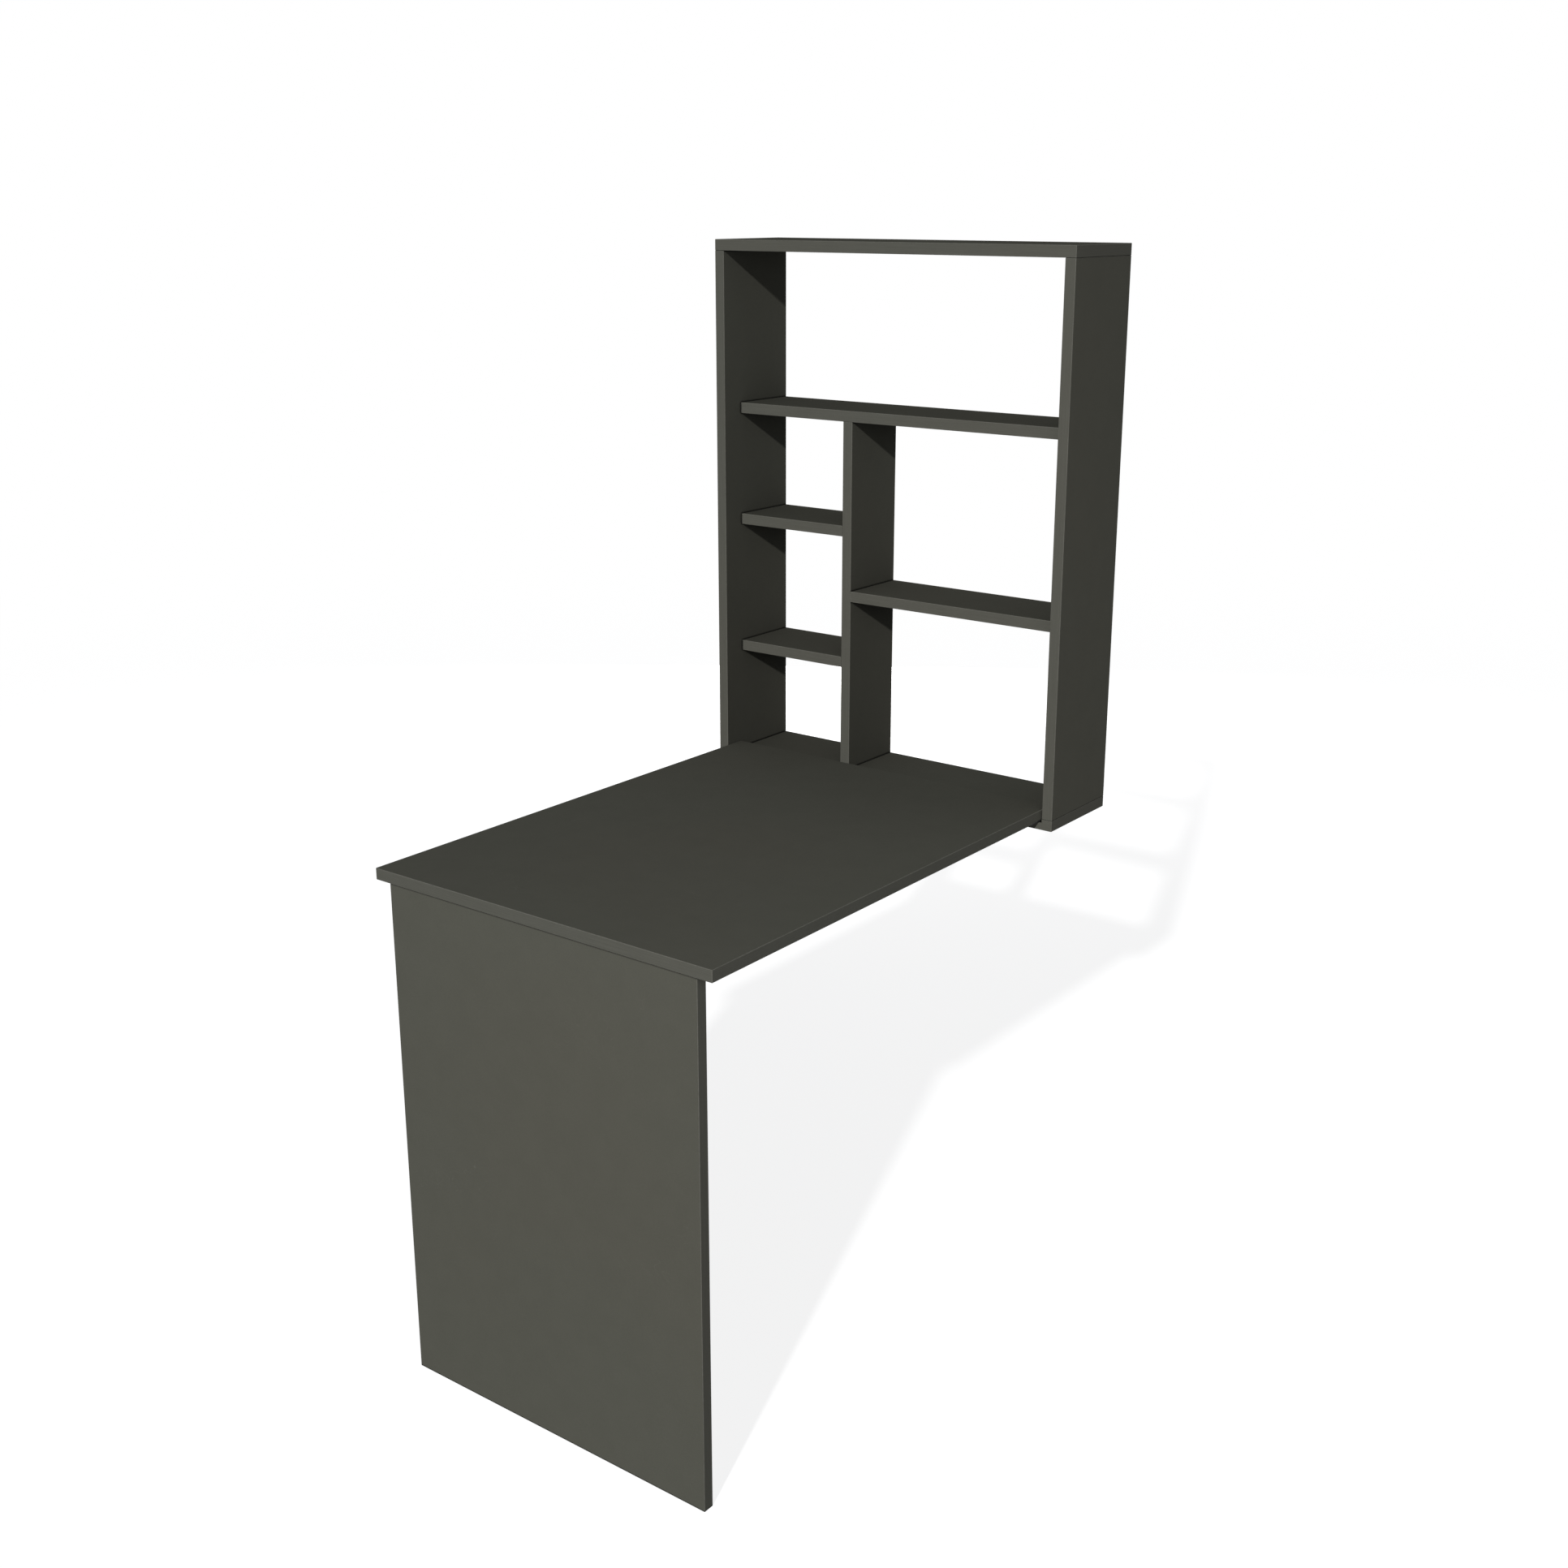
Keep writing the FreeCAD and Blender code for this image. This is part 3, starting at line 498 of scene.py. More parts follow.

# %% [markdown]
# ## Painted shade and grime in the joints
#
# Where two boards meet, their rounded arrises leave a groove as fine as a hair. It is painted as a
# dark line, partly painted shade and partly the dust that gathers in it. An Ambient Occlusion node
# finds such places by itself: it tells how much of its surroundings a point can see within a short
# reach. Boards that slide or fold away from each other need no painted line that would stay behind.

# %% Group: joint shade and grime
# Painted shade and grime: joints are darkened where a point sees little within a short reach.
JOINT_SHADE_AND_GRIME = light_of(24, 24, 22)
GROOVE_REACH = 3.0 * MM
CLEAN, FULL = 0.97, 0.68    # how open a point is where the grime begins, and where it is thickest
THICKEST = 0.95

joint_shade_and_grime, given, result = new_group(
    "joint_shade_and_grime", [("Reach", FLOAT, GROOVE_REACH)], [("Mask", FLOAT)])
tree = joint_shade_and_grime
openness = openness_within(tree, given["Reach"], 6)
tree.links.new(step(tree, openness, CLEAN, FULL, 0.0, THICKEST), result["Mask"])
print("group:", tree.name)

# %% [markdown]
# ## Painted shade in the corners
#
# The bays and the foot of the cabinet are painted darker than the lamps alone make them: this is
# painted shade in the colour. The same node finds these places, with a reach as long as an arm,
# and what is left of the colour is one number. The leg stands free and has no painted shade.

# %% Group: painted corner shade
ARM_REACH = 600.0 * MM
PAINTED_CORNER_SHADE = 0.55      # how much of the colour goes where nothing is open

painted_corner_shade, given, result = new_group(
    "painted_corner_shade", [("Reach", FLOAT, ARM_REACH), ("Share", FLOAT, PAINTED_CORNER_SHADE)], [("Kept", FLOAT)])
tree = painted_corner_shade
# Painted shade: the colour is darkened where little is open within an arm's reach.
openness = openness_within(tree, given["Reach"], 4)
closed = minus(tree, 1.0, openness)
tree.links.new(minus(tree, 1.0, times(tree, closed, given["Share"])), result["Kept"])
print("group:", tree.name)

# %% [markdown]
# ## A whole board
#
# A board's material puts the facing on the outer faces, bare chips in the bores and on back edges
# that carry no strip, and a dark hairline of glue where a strip meets the face. All the boards use
# one group, each with its own middle and size. The shader itself stays in the material.

# %% Group: faced board
BORE_DEPTH = 0.45                   # a point deeper than this, in millimetres, lies in a bore
GLUE_START, GLUE_END = 0.9, 1.12    # in millimetres from an arris, where a strip meets the face
GLUE_COLOUR = light_of(46, 44, 40)
CHIP_RELIEF = 6.0
CHIP_ROUGHNESS = 0.88

faced_board, given, result = new_group(
    "faced_board",
    [
        *BOARD_PLACE, ("Colour", COLOUR, BOARD_GREY), ("Flake", VECTOR, (6, 6, 1)),
        ("Bare Back", FLOAT, 0.0), ("Paint", FLOAT, 0.0), ("PaintedShade", FLOAT, PAINTED_CORNER_SHADE),
    ],
    FINISH,
)
tree = faced_board
shade_and_grime = use(tree, joint_shade_and_grime)["Mask"]
lie = use(tree, arris_distance, Centre=given["Centre"], Half_Size=given["Half Size"])
facing = use(tree, matt_facing, Colour=given["Colour"], Edge=lie["Edge"])
core = use(
    tree, particle_board, Flake=given["Flake"], Paint=given["Paint"], Paint_Colour=given["Colour"]
)
bored = calc(tree, "GREATER_THAN", lie["Depth"], BORE_DEPTH)
bare = calc(tree, "MAXIMUM", bored, times(tree, lie["Behind"], given["Bare Back"]))
past_strip = calc(tree, "GREATER_THAN", lie["Edge"], GLUE_START)
glue = times(tree, past_strip, calc(tree, "LESS_THAN", lie["Edge"], GLUE_END))
glued = mixed(tree, times(tree, glue, 0.5), facing["Colour"], GLUE_COLOUR)
outer = mixed(tree, bare, glued, core["Colour"])
# Painted shade in the bays and at the foot of the cabinet.
with_corner_shade = scaled(tree, outer, use(tree, painted_corner_shade, Share=given["PaintedShade"])["Kept"])
# Painted shade and grime in the joints.
tree.links.new(mixed(tree, shade_and_grime, with_corner_shade, JOINT_SHADE_AND_GRIME), result["Colour"])
rough = blended(tree, bare, facing["Roughness"], CHIP_ROUGHNESS)
tree.links.new(rough, result["Roughness"])
chips = times(tree, core["Height"], CHIP_RELIEF)
tree.links.new(blended(tree, bare, facing["Height"], chips), result["Height"])
print("group:", tree.name)

# %% Group: edging strip
edging_strip, given, result = new_group(
    "edging_strip",
    [*BOARD_PLACE, ("Colour", COLOUR, STRIP_GREY), ("Stroke", VECTOR, (60, 60, 0.2))],
    FINISH,
)
tree = edging_strip
lie = use(tree, arris_distance, Centre=given["Centre"], Half_Size=given["Half Size"])
facing = use(tree, matt_facing, Colour=given["Colour"], Edge=lie["Edge"])
in_mm = in_millimetres(tree)
strokes = noise(tree, along(tree, "DIVIDE", in_mm, given["Stroke"]), 1.0, 2.0)
scraped = mixed(tree, step(tree, strokes, 0.35, 0.65, 0.0, 0.06), facing["Colour"], SCRATCHED_GREY)
shade_and_grime = use(tree, joint_shade_and_grime)["Mask"]
# Painted shade and grime in the joints.
tree.links.new(mixed(tree, shade_and_grime, scraped, JOINT_SHADE_AND_GRIME), result["Colour"])
smoother = minus(tree, facing["Roughness"], 0.06)
tree.links.new(plus(tree, smoother, times(tree, strokes, 0.06)), result["Roughness"])
low_grain = times(tree, facing["Height"], 0.5)
tree.links.new(plus(tree, low_grain, times(tree, strokes, 0.8)), result["Height"])
print("group:", tree.name)

# %% [markdown]
# ## One material from a group
#
# Every finish here ends the same way: the group's colour and roughness go to a Principled shader,
# and its height goes through a Bump node to the normal. Numbers that are the same all over, such as
# how strongly the surface mirrors, are set on the shader itself.

# %% Materials from groups
def finish_from(name, group, inputs, bump, **shader):
    """A material whose colour, roughness and relief come from one group."""
    made = bpy.data.materials.new(name)
    made.use_nodes = True
    tree = made.node_tree
    tree.nodes.clear()
    pattern = use(tree, group, **inputs)
    relief = out(
        tree, "ShaderNodeBump", {"Height": pattern["Height"], "Distance": bump, "Strength": 1.0})
    surface = put(tree, "ShaderNodeBsdfPrincipled", {
        "Base Color": pattern["Colour"], "Roughness": pattern["Roughness"], "Normal": relief,
    })
    if "Metallic" in pattern:
        tree.links.new(pattern["Metallic"], surface.inputs["Metallic"])
    for key, value in shader.items():
        surface.inputs[key.replace("_", " ")].default_value = value
    put(tree, "ShaderNodeOutputMaterial", {"Surface": surface.outputs[0]})
    return made


def dress(node, material):
    """A CAD node gets a material in each of its slots."""
    for place in nodes[node].material_slots:
        place.material = material


# %% Boards and their strips
MATT = {"bump": 0.025 * MM, "Specular_IOR_Level": 0.0}
LONG_FLAKE, THIN_FLAKE = 5.0, 0.9
LONG_STROKE, THIN_STROKE = 70.0, 0.25

boards = [n[: -len("_edging")] for n in sorted(nodes) if n.endswith("_edging")]
for board in boards:
    corners = [c for n in (board, board + "_edging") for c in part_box(n)]
    low = Vector([min(c[i] for c in corners) for i in range(3)])
    high = Vector([max(c[i] for c in corners) for i in range(3)])
    size = high - low
    thin = min(range(3), key=lambda i: size[i])
    flake = [THIN_FLAKE if i == thin else LONG_FLAKE for i in range(3)]
    stroke = [THIN_STROKE if i == thin else LONG_STROKE for i in range(3)]
    on_cabinet = nodes[board]["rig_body"] == "cabinet"
    shared = {"Centre": (low + high) / 2, "Half_Size": size / 2}
    faced = {
        "Colour": BOARD_GREY, "Flake": flake, "Bare_Back": float(on_cabinet),
        "Paint": float(board == "bottom_board"),
        # The leg gets no painted corner shade; the other boards do.
        "PaintedShade": 0.0 if board == "leg_board" else PAINTED_CORNER_SHADE, **shared,
    }
    dress(board, finish_from("faced_" + board, faced_board, faced, **MATT))
    stripped = {"Colour": STRIP_GREY, "Stroke": stroke, **shared}
    dress(board + "_edging", finish_from("strip_" + board, edging_strip, stripped, **MATT))
print("boards dressed:", len(boards))

# %% [markdown]
# ## Metal, lacquer, nylon, rubber and beech
#
# Screws and hinges are steel with a thin coat of zinc. The coat is silvery with a faint blue and
# straw tint, and chalky where it has dulled. Bars and pins are drawn through a die, which leaves
# lines along them. One group makes all of these. It takes the tint, the size of the lines, and how
# much of the surface has gone dull, and it gives Metallic as well, because chalky zinc no longer
# mirrors.
#
# Edges of hardware wear first. On bare metal the edges are painted paler, partly as wear and partly
# as a painted highlight. A Bevel node, read as a normal, differs from the true normal only near an
# edge, so the difference is a ready mask for wear and for that highlight.

# %% Group: worn edges
worn_edges, given, result = new_group(
    "worn_edges", [("Width", FLOAT, 0.4 * MM), ("Ragged", FLOAT, 900.0)], [("Mask", FLOAT)]
)
tree = worn_edges
true_normal = tree.nodes.new("ShaderNodeNewGeometry").outputs["Normal"]
eased = put(tree, "ShaderNodeBevel", {"Radius": given["Width"]}, samples=4).outputs["Normal"]
agree = put(
    tree, "ShaderNodeVectorMath", {0: true_normal, 1: eased}, operation="DOT_PRODUCT"
).outputs["Value"]
turned = step(tree, minus(tree, 1.0, agree), 0.01, 0.16)
torn = noise(tree, object_place(tree), given["Ragged"], 3.0)
tree.links.new(step(tree, times(tree, turned, torn), 0.22, 0.42), result["Mask"])
print("group:", tree.name)

# %% Group: bare and plated metal
bare_metal, given, result = new_group(
    "bare_metal",
    [
        ("Colour", COLOUR, light_of(205, 207, 208)), ("Tint", COLOUR, light_of(200, 190, 150)),
        ("Line", VECTOR, (1, 1, 1)), ("Smooth", FLOAT, 0.3), ("Dull", FLOAT, 0.3),
    ],
    METAL_FINISH,
)
tree = bare_metal
place = object_place(tree)
in_mm = in_millimetres(tree)
lines = noise(tree, along(tree, "DIVIDE", in_mm, given["Line"]), 3.0, 3.0)
clouds = noise(tree, place, 190.0, 2.0)
powder = noise(tree, place, 420.0, 4.0, 0.65)
chalk = times(tree, step(tree, powder, 0.5, 0.68), given["Dull"])
rub = use(tree, worn_edges)["Mask"]
tinted = mixed(tree, step(tree, clouds, 0.35, 0.7, 0.0, 0.5), given["Colour"], given["Tint"])
lined = mixed(tree, spread(tree, lines, 0.0, 0.18), tinted, light_of(120, 120, 122))
chalked = mixed(tree, chalk, lined, light_of(176, 178, 178))
# Painted highlight and wear: the edges of bare metal are made paler.
worn_and_highlit = mixed(tree, times(tree, rub, 0.6), chalked, light_of(225, 225, 226))
tree.links.new(worn_and_highlit, result["Colour"])
uneven = plus(tree, given["Smooth"], times(tree, lines, 0.14))
dulled = plus(tree, uneven, times(tree, chalk, 0.35))
tree.links.new(minus(tree, dulled, times(tree, rub, 0.08)), result["Roughness"])
tree.links.new(minus(tree, 1.0, times(tree, chalk, 0.55)), result["Metallic"])
tree.links.new(plus(tree, lines, times(tree, chalk, 0.4)), result["Height"])
print("group:", tree.name)

# %% Group: black lacquer on steel
black_lacquer, given, result = new_group(
    "black_lacquer", [("Colour", COLOUR, light_of(34, 34, 35)), ("Worn", FLOAT, 0.8)], METAL_FINISH)
tree = black_lacquer
place = object_place(tree)
peel = noise(tree, place, 1300.0, 2.0)
dust = noise(tree, place, 260.0, 4.0, 0.6)
rub = times(tree, use(tree, worn_edges, Width=0.3 * MM)["Mask"], given["Worn"])
dusted = mixed(tree, step(tree, dust, 0.4, 0.75, 0.0, 0.16), given["Colour"], light_of(96, 95, 92))
tree.links.new(mixed(tree, rub, dusted, light_of(168, 168, 168)), result["Colour"])
tree.links.new(step(tree, dust, 0.35, 0.7, 0.36, 0.52), result["Roughness"])
tree.links.new(rub, result["Metallic"])
tree.links.new(minus(tree, peel, rub), result["Height"])
print("group:", tree.name)

# %% Group: moulded nylon and rubber
moulded, given, result = new_group(
    "moulded",
    [("Colour", COLOUR, light_of(222, 219, 208)), ("Grain", FLOAT, 2200.0), ("Smooth", FLOAT, 0.5)],
    FINISH,
)
tree = moulded
place = object_place(tree)
grain = noise(tree, place, given["Grain"], 3.0)
scuff = noise(tree, place, 330.0, 4.0, 0.65)
soiled = mixed(tree, step(tree, scuff, 0.45, 0.75, 0.0, 0.3), given["Colour"], light_of(120, 116, 106))
grained = mixed(tree, spread(tree, grain, 0.0, 0.12), soiled, light_of(60, 58, 54))
tree.links.new(grained, result["Colour"])
tree.links.new(plus(tree, given["Smooth"], times(tree, scuff, 0.2)), result["Roughness"])
tree.links.new(grain, result["Height"])
print("group:", tree.name)

# %% Group: beech
beech_wood, given, result = new_group(
    "beech_wood", [("Run", VECTOR, (1, 1, 10))], FINISH)
tree = beech_wood
in_mm = in_millimetres(tree)
with_grain = along(tree, "DIVIDE", in_mm, given["Run"])
rings = noise(tree, with_grain, 0.9, 4.0, 0.6)
flecks = noise(tree, with_grain, 6.0, 2.0)
pale_beech = mixed(tree, spread(tree, rings), light_of(222, 190, 146), light_of(196, 156, 110))
fleck_share = step(tree, flecks, 0.58, 0.68, 0.0, 0.5)
tree.links.new(mixed(tree, fleck_share, pale_beech, light_of(158, 116, 76)), result["Colour"])
tree.links.new(spread(tree, rings, 0.55, 0.7), result["Roughness"])
tree.links.new(minus(tree, rings, fleck_share), result["Height"])
print("group:", tree.name)

# %% Hardware materials
FINE_BUMP = 0.02 * MM
EVEN, ALONG_X, ALONG_Y = (1, 1, 1), (30, 0.5, 0.5), (0.5, 30, 0.5)

plated_steel = finish_from("plated_steel", bare_metal, {
    "Line": EVEN, "Smooth": 0.24, "Dull": 0.35,
}, FINE_BUMP)
cast_zinc = finish_from("cast_zinc", bare_metal, {
    "Colour": light_of(168, 170, 172), "Tint": light_of(150, 151, 154), "Line": (0.5, 0.5, 0.5),
    "Smooth": 0.36, "Dull": 0.8,
}, 0.04 * MM)
bright_pins = finish_from("bright_pins", bare_metal, {
    "Colour": light_of(196, 197, 199), "Tint": light_of(186, 184, 178), "Line": ALONG_X,
    "Smooth": 0.16, "Dull": 0.1,
}, FINE_BUMP)
drawn_bars = finish_from("drawn_bars", bare_metal, {
    "Colour": light_of(192, 193, 195), "Tint": light_of(178, 176, 170), "Line": ALONG_Y,
    "Smooth": 0.2, "Dull": 0.15,
}, FINE_BUMP)
lacquered = finish_from("lacquered_steel", black_lacquer, {}, FINE_BUMP)
nylon = finish_from("nylon", moulded, {}, FINE_BUMP)
rubber = finish_from("rubber", moulded, {
    "Colour": light_of(48, 47, 45), "Grain": 1500.0, "Smooth": 0.72,
}, 0.06 * MM)

HARDWARE = (
    (plated_steel, "cam_bolts keyhole_plates leg_hinge_desk_leaves leg_hinge_leg_leaves"),
    (bright_pins, "pivot_pins leg_hinge_pins"),
    (drawn_bars, "left_bolt_bar right_bolt_bar"),
    (lacquered, "left_cabinet_pivot right_cabinet_pivot left_desk_pivot right_desk_pivot"),
    (lacquered, "left_bolt_case right_bolt_case bolt_keepers"),
    (nylon, "pivot_washers"),
    (rubber, "desk_rest_pads"),
)
for material, names in HARDWARE:
    for node in names.split():
        dress(node, material)
    print(material.name, "on:", names)

# %% [markdown]
# ## Where the small turned pieces sit
#
# The model's screws, cams, dowels and knobs are plain solids. Made again with threads, tapered
# drive recesses and flutes they look like what they are. Their places are not written down twice:
# each node's mesh is split into its loose parts, and each part tells where it starts, which way it
# runs, and how wide and long it is. A turned piece is as wide one way as the other, so the odd side
# of its box is its axis. Its face is the wider end, or the lower where both are as wide.

# %% Loose parts of a node
MERGE_DISTANCE = 0.001 * MM
ALIKE = 0.01 * MM       # lengths that differ by less count as equal


def loose_parts(node):
    """The corners of each separate solid in a node, from a merged copy of its mesh."""
    merged = bmesh.new()
    merged.from_mesh(nodes[node].data)
    bmesh.ops.remove_doubles(merged, verts=merged.verts, dist=MERGE_DISTANCE)
    unseen = set(merged.verts)
    parts = []
    for first in merged.verts:
        if first not in unseen:
            continue
        unseen.remove(first)
        reached = [first]
        for corner in reached:
            others = [edge.other_vert(corner) for edge in corner.link_edges]
            reached += [other for other in others if other in unseen]
            unseen.difference_update(others)
        parts.append(np.array([corner.co for corner in reached]))
    merged.free()
    return parts


def turned_place(part):
    """Where a turned piece's face is, which way the piece runs from it, and its radius and length."""
    low, high = part.min(axis=0), part.max(axis=0)
    size = high - low
    axis = min(range(3), key=lambda i: abs(size[i - 1] - size[i - 2]))
    middle = (low + high) / 2
    sides = [i for i in range(3) if i != axis]
    off_axis = np.linalg.norm((part - middle)[:, sides], axis=1)
    ends = (low[axis], high[axis])
    reach = [off_axis[np.abs(part[:, axis] - end) < ALIKE].max() for end in ends]
    from_top = reach[1] > reach[0] + ALIKE
    face = middle.copy()
    face[axis] = high[axis] if from_top else low[axis]
    aim = [0.0, 0.0, 0.0]
    aim[axis] = -1.0 if from_top else 1.0
    return face, aim, size[sides[0]] / 2, size[axis]


for node in ("leg_leaf_screws", "confirmat_screws", "cam_locks", "wood_dowels", "left_bolt_knob"):
    face, aim, radius, length = turned_place(loose_parts(node)[0])
    print(node, "face", [round(c / MM, 1) for c in face], "aim", aim)
    print("    radius and length in mm:", round(radius / MM, 2), round(length / MM, 2))

# %% [markdown]
# ## Turning a shape in Geometry Nodes
#
# A lathe cuts a radius for every place along a bar. The same is done here with a straight curve:
# Curve to Mesh sweeps a ring along it, scaled by a radius that is worked out from the height.
# Grooves come next, by moving corners inwards: a thread is a groove whose place turns with the
# angle, and a flute is one that stays at its angle. What a cutter would mill, such as the drive
# recess of a screw, is taken away by a Mesh Boolean. All of that is done on one piece, and Instance
# on Points then sets it wherever the model has one.

# %% Helpers for turned pieces
SHARP_ANGLE = math.radians(35)


def corner_place(tree):
    return tree.nodes.new("GeometryNodeInputPosition").outputs[0]


def height_of_corner(tree):
    return split(tree, corner_place(tree))[2]


def turned_bar(tree, length, rows, sides, radius):
    """A solid turned about +Z, from the origin up to its length."""
    end = joined(tree, 0, 0, length)
    rail = out(tree, "GeometryNodeCurvePrimitiveLine", {"End": end})
    ruled = out(tree, "GeometryNodeResampleCurve", {"Curve": rail, "Count": rows})
    ring = out(tree, "GeometryNodeCurvePrimitiveCircle", {"Resolution": sides, "Radius": 1.0})
    return out(tree, "GeometryNodeCurveToMesh", {
        "Curve": ruled, "Profile Curve": ring, "Scale": radius, "Fill Caps": True,
    })


def angle_of_corner(tree):
    """How far round the axis a corner lies, from -0.5 to 0.5 of a turn."""
    x, y, z = split(tree, corner_place(tree))
    return calc(tree, "DIVIDE", calc(tree, "ARCTAN2", y, x), 2 * math.pi)


def grooved(tree, solid, depth):
    """Corners moved towards the axis by a depth."""
    outwards = along(tree, "NORMALIZE", along(tree, "MULTIPLY", corner_place(tree), (1, 1, 0)))
    inwards = scaled(tree, outwards, times(tree, depth, -1.0))
    return out(tree, "GeometryNodeSetPosition", {"Geometry": solid, "Offset": inwards})


def carved(tree, solid, cutter):
    return out(
        tree, "GeometryNodeMeshBoolean", {"Mesh 1": solid, "Mesh 2": cutter},
        operation="DIFFERENCE", solver="EXACT",
    )


def slot_cutter(tree, reach, width, depth, turn, taper=0.4):
    """A tapered blade across the axis, for cutting a drive slot into a face at height 0."""
    size = joined(tree, times(tree, reach, 2.0), width, times(tree, depth, 2.0))
    blade = out(tree, "GeometryNodeMeshCube", {"Size": size})
    narrowing = ramp(tree, height_of_corner(tree), 0.0, depth, 1.0, 1.0 - taper)
    scale = joined(tree, narrowing, 1, 1)
    place = along(tree, "MULTIPLY", corner_place(tree), scale)
    shaped = out(tree, "GeometryNodeSetPosition", {"Geometry": blade, "Position": place})
    return out(tree, "GeometryNodeTransform", {"Geometry": shaped, "Rotation": (0, 0, turn)})


def drum_cutter(tree, radius, depth, corners=32):
    """A drum about the axis, for sinking a round or, with 6 corners, a hexagonal pocket."""
    return out(tree, "GeometryNodeMeshCylinder", {
        "Vertices": corners, "Radius": radius, "Depth": times(tree, depth, 2.0),
    })


def set_out(tree, given, result, solid, most_turn):
    """Copies of a solid at the points, each along its aim and turned by chance about it."""
    smooth = out(tree, "GeometryNodeSetShadeSmooth", {"Geometry": solid})
    bend = tree.nodes.new("GeometryNodeInputMeshEdgeAngle").outputs[0]
    sharp = calc(tree, "GREATER_THAN", bend, SHARP_ANGLE)
    shaded = out(tree, "GeometryNodeSetShadeSmooth", {
        "Geometry": smooth, "Selection": sharp, "Shade Smooth": False}, domain="EDGE")
    aim = out(
        tree, "GeometryNodeInputNamedAttribute", {"Name": "aim"}, data_type="FLOAT_VECTOR")
    facing = out(tree, "FunctionNodeAlignRotationToVector", {"Vector": aim}, axis="Z")
    copies = out(tree, "GeometryNodeInstanceOnPoints", {
        "Points": given["Points"], "Instance": shaded, "Rotation": facing})
    span = {2: 0.0, 3: most_turn, "Seed": given["Seed"]}
    chance = put(tree, "FunctionNodeRandomValue", span, data_type="FLOAT").outputs[1]
    spin = joined(tree, 0, 0, chance)
    spun = out(tree, "GeometryNodeRotateInstances", {"Instances": copies, "Rotation": spin})
    real = out(tree, "GeometryNodeRealizeInstances", {"Geometry": spun})
    coated = out(tree, "GeometryNodeSetMaterial", {"Geometry": real, "Material": given["Material"]})
    tree.links.new(coated, result["Geometry"])


print("edges turn sharp above", round(math.degrees(SHARP_ANGLE)), "degrees")

# %% Making a piece from a tree
GEOMETRY, WHOLE, CHOICE, MATERIAL = (
    "NodeSocketGeometry", "NodeSocketInt", "NodeSocketBool", "NodeSocketMaterial")
SHARED_INPUTS = [("Points", GEOMETRY, None), ("Material", MATERIAL, None), ("Seed", WHOLE, 7)]


def grown(name, tree, places, values):
    """The pieces that a tree grows at the places, as one plain mesh object at the origin."""
    points = bpy.data.meshes.new(name)
    points.from_pydata([face for face, aim, radius, length in places], [], [])
    aims = points.attributes.new("aim", "FLOAT_VECTOR", "POINT")
    aims.data.foreach_set("vector", [part for face, aim, radius, length in places for part in aim])
    piece = new_object(name, points)
    modifier = piece.modifiers.new("grow", "NODES")
    modifier.node_group = tree
    for socket in tree.interface.items_tree:
        if socket.in_out == "INPUT" and socket.name in values:
            modifier[socket.identifier] = values[socket.name]
    view = bpy.context.evaluated_depsgraph_get()
    grown_mesh = bpy.data.meshes.new_from_object(piece.evaluated_get(view))
    piece.modifiers.clear()
    piece.data = grown_mesh
    return piece


def stand_for(node, piece):
    """A new piece takes over from a CAD node: it rides on the node's body, and the node is hidden."""
    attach(piece, nodes[node]["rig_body"])
    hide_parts(node)
    print(piece.name, "stands for", node, "with", len(piece.data.polygons), "faces")


def regrow(node, name, tree, values, width="Radius", length="Length"):
    """A tree's pieces stand for a node, in the places and the size of its parts."""
    places = [turned_place(part) for part in loose_parts(node)]
    face, aim, radius, reach = places[0]
    sizes = {width: float(radius), length: float(reach)}
    stand_for(node, grown(name, tree, places, {**sizes, **values}))


# %% [markdown]
# ## Screws
#
# A screw for board has a flat head on a cone, a thread with sharp crests and wide valleys, and a
# cross recess that narrows as it gets deeper. The long screws that draw the carcass together take a
# hexagon key instead. One tree makes both kinds in every size. The head's cone must fill the
# countersink, so head radius and length are measured on the model, and the rest follows from them.

# %% Tree: countersunk screws
ROWS_PER_PITCH = 8
SCREW_SIDES = 18
EASE_HEIGHT, EASE_SHARE = 0.05 * MM, 0.05               # of the head's rim
TIP_LENGTH, TIP_LOSS, THREAD_DEPTH = 1.6, 0.8, 0.3      # shares of the shank's radius
CREST_SHARPNESS = 1.7
CROSS_REACH, CROSS_WIDTH, KEY_RADIUS = 0.6, 0.2, 0.48   # shares of the head's radius
DRIVE_DEPTH = 0.8                                       # share of the head's height

screw_tree, given, result = new_group("countersunk_screws", [
    *SHARED_INPUTS, ("Head Radius", FLOAT, 3 * MM), ("Head Height", FLOAT, 1.5 * MM),
    ("Shank Radius", FLOAT, 1.5 * MM), ("Length", FLOAT, 13 * MM), ("Pitch", FLOAT, 1.1 * MM),
    ("Plain Shank", FLOAT, 1 * MM), ("Hexagon Key", CHOICE, False),
], [("Geometry", GEOMETRY)], "GeometryNodeTree")
tree = screw_tree
height = height_of_corner(tree)
head = ramp(tree, height, 0.0, given["Head Height"], given["Head Radius"], given["Shank Radius"])
eased = times(tree, given["Head Radius"], EASE_SHARE)
rim_ease = ramp(tree, height, 0.0, EASE_HEIGHT, eased, 0.0)
tip_start = minus(tree, given["Length"], times(tree, given["Shank Radius"], TIP_LENGTH))
most_loss = times(tree, given["Shank Radius"], TIP_LOSS)
tip_loss = ramp(tree, height, tip_start, given["Length"], 0.0, most_loss)
radius = minus(tree, minus(tree, head, tip_loss), rim_ease)
turns = calc(tree, "DIVIDE", given["Length"], given["Pitch"])
bar = turned_bar(tree, given["Length"], times(tree, turns, ROWS_PER_PITCH), SCREW_SIDES, radius)
turned = calc(tree, "DIVIDE", height, given["Pitch"])
phase = calc(tree, "FRACT", minus(tree, turned, angle_of_corner(tree)))
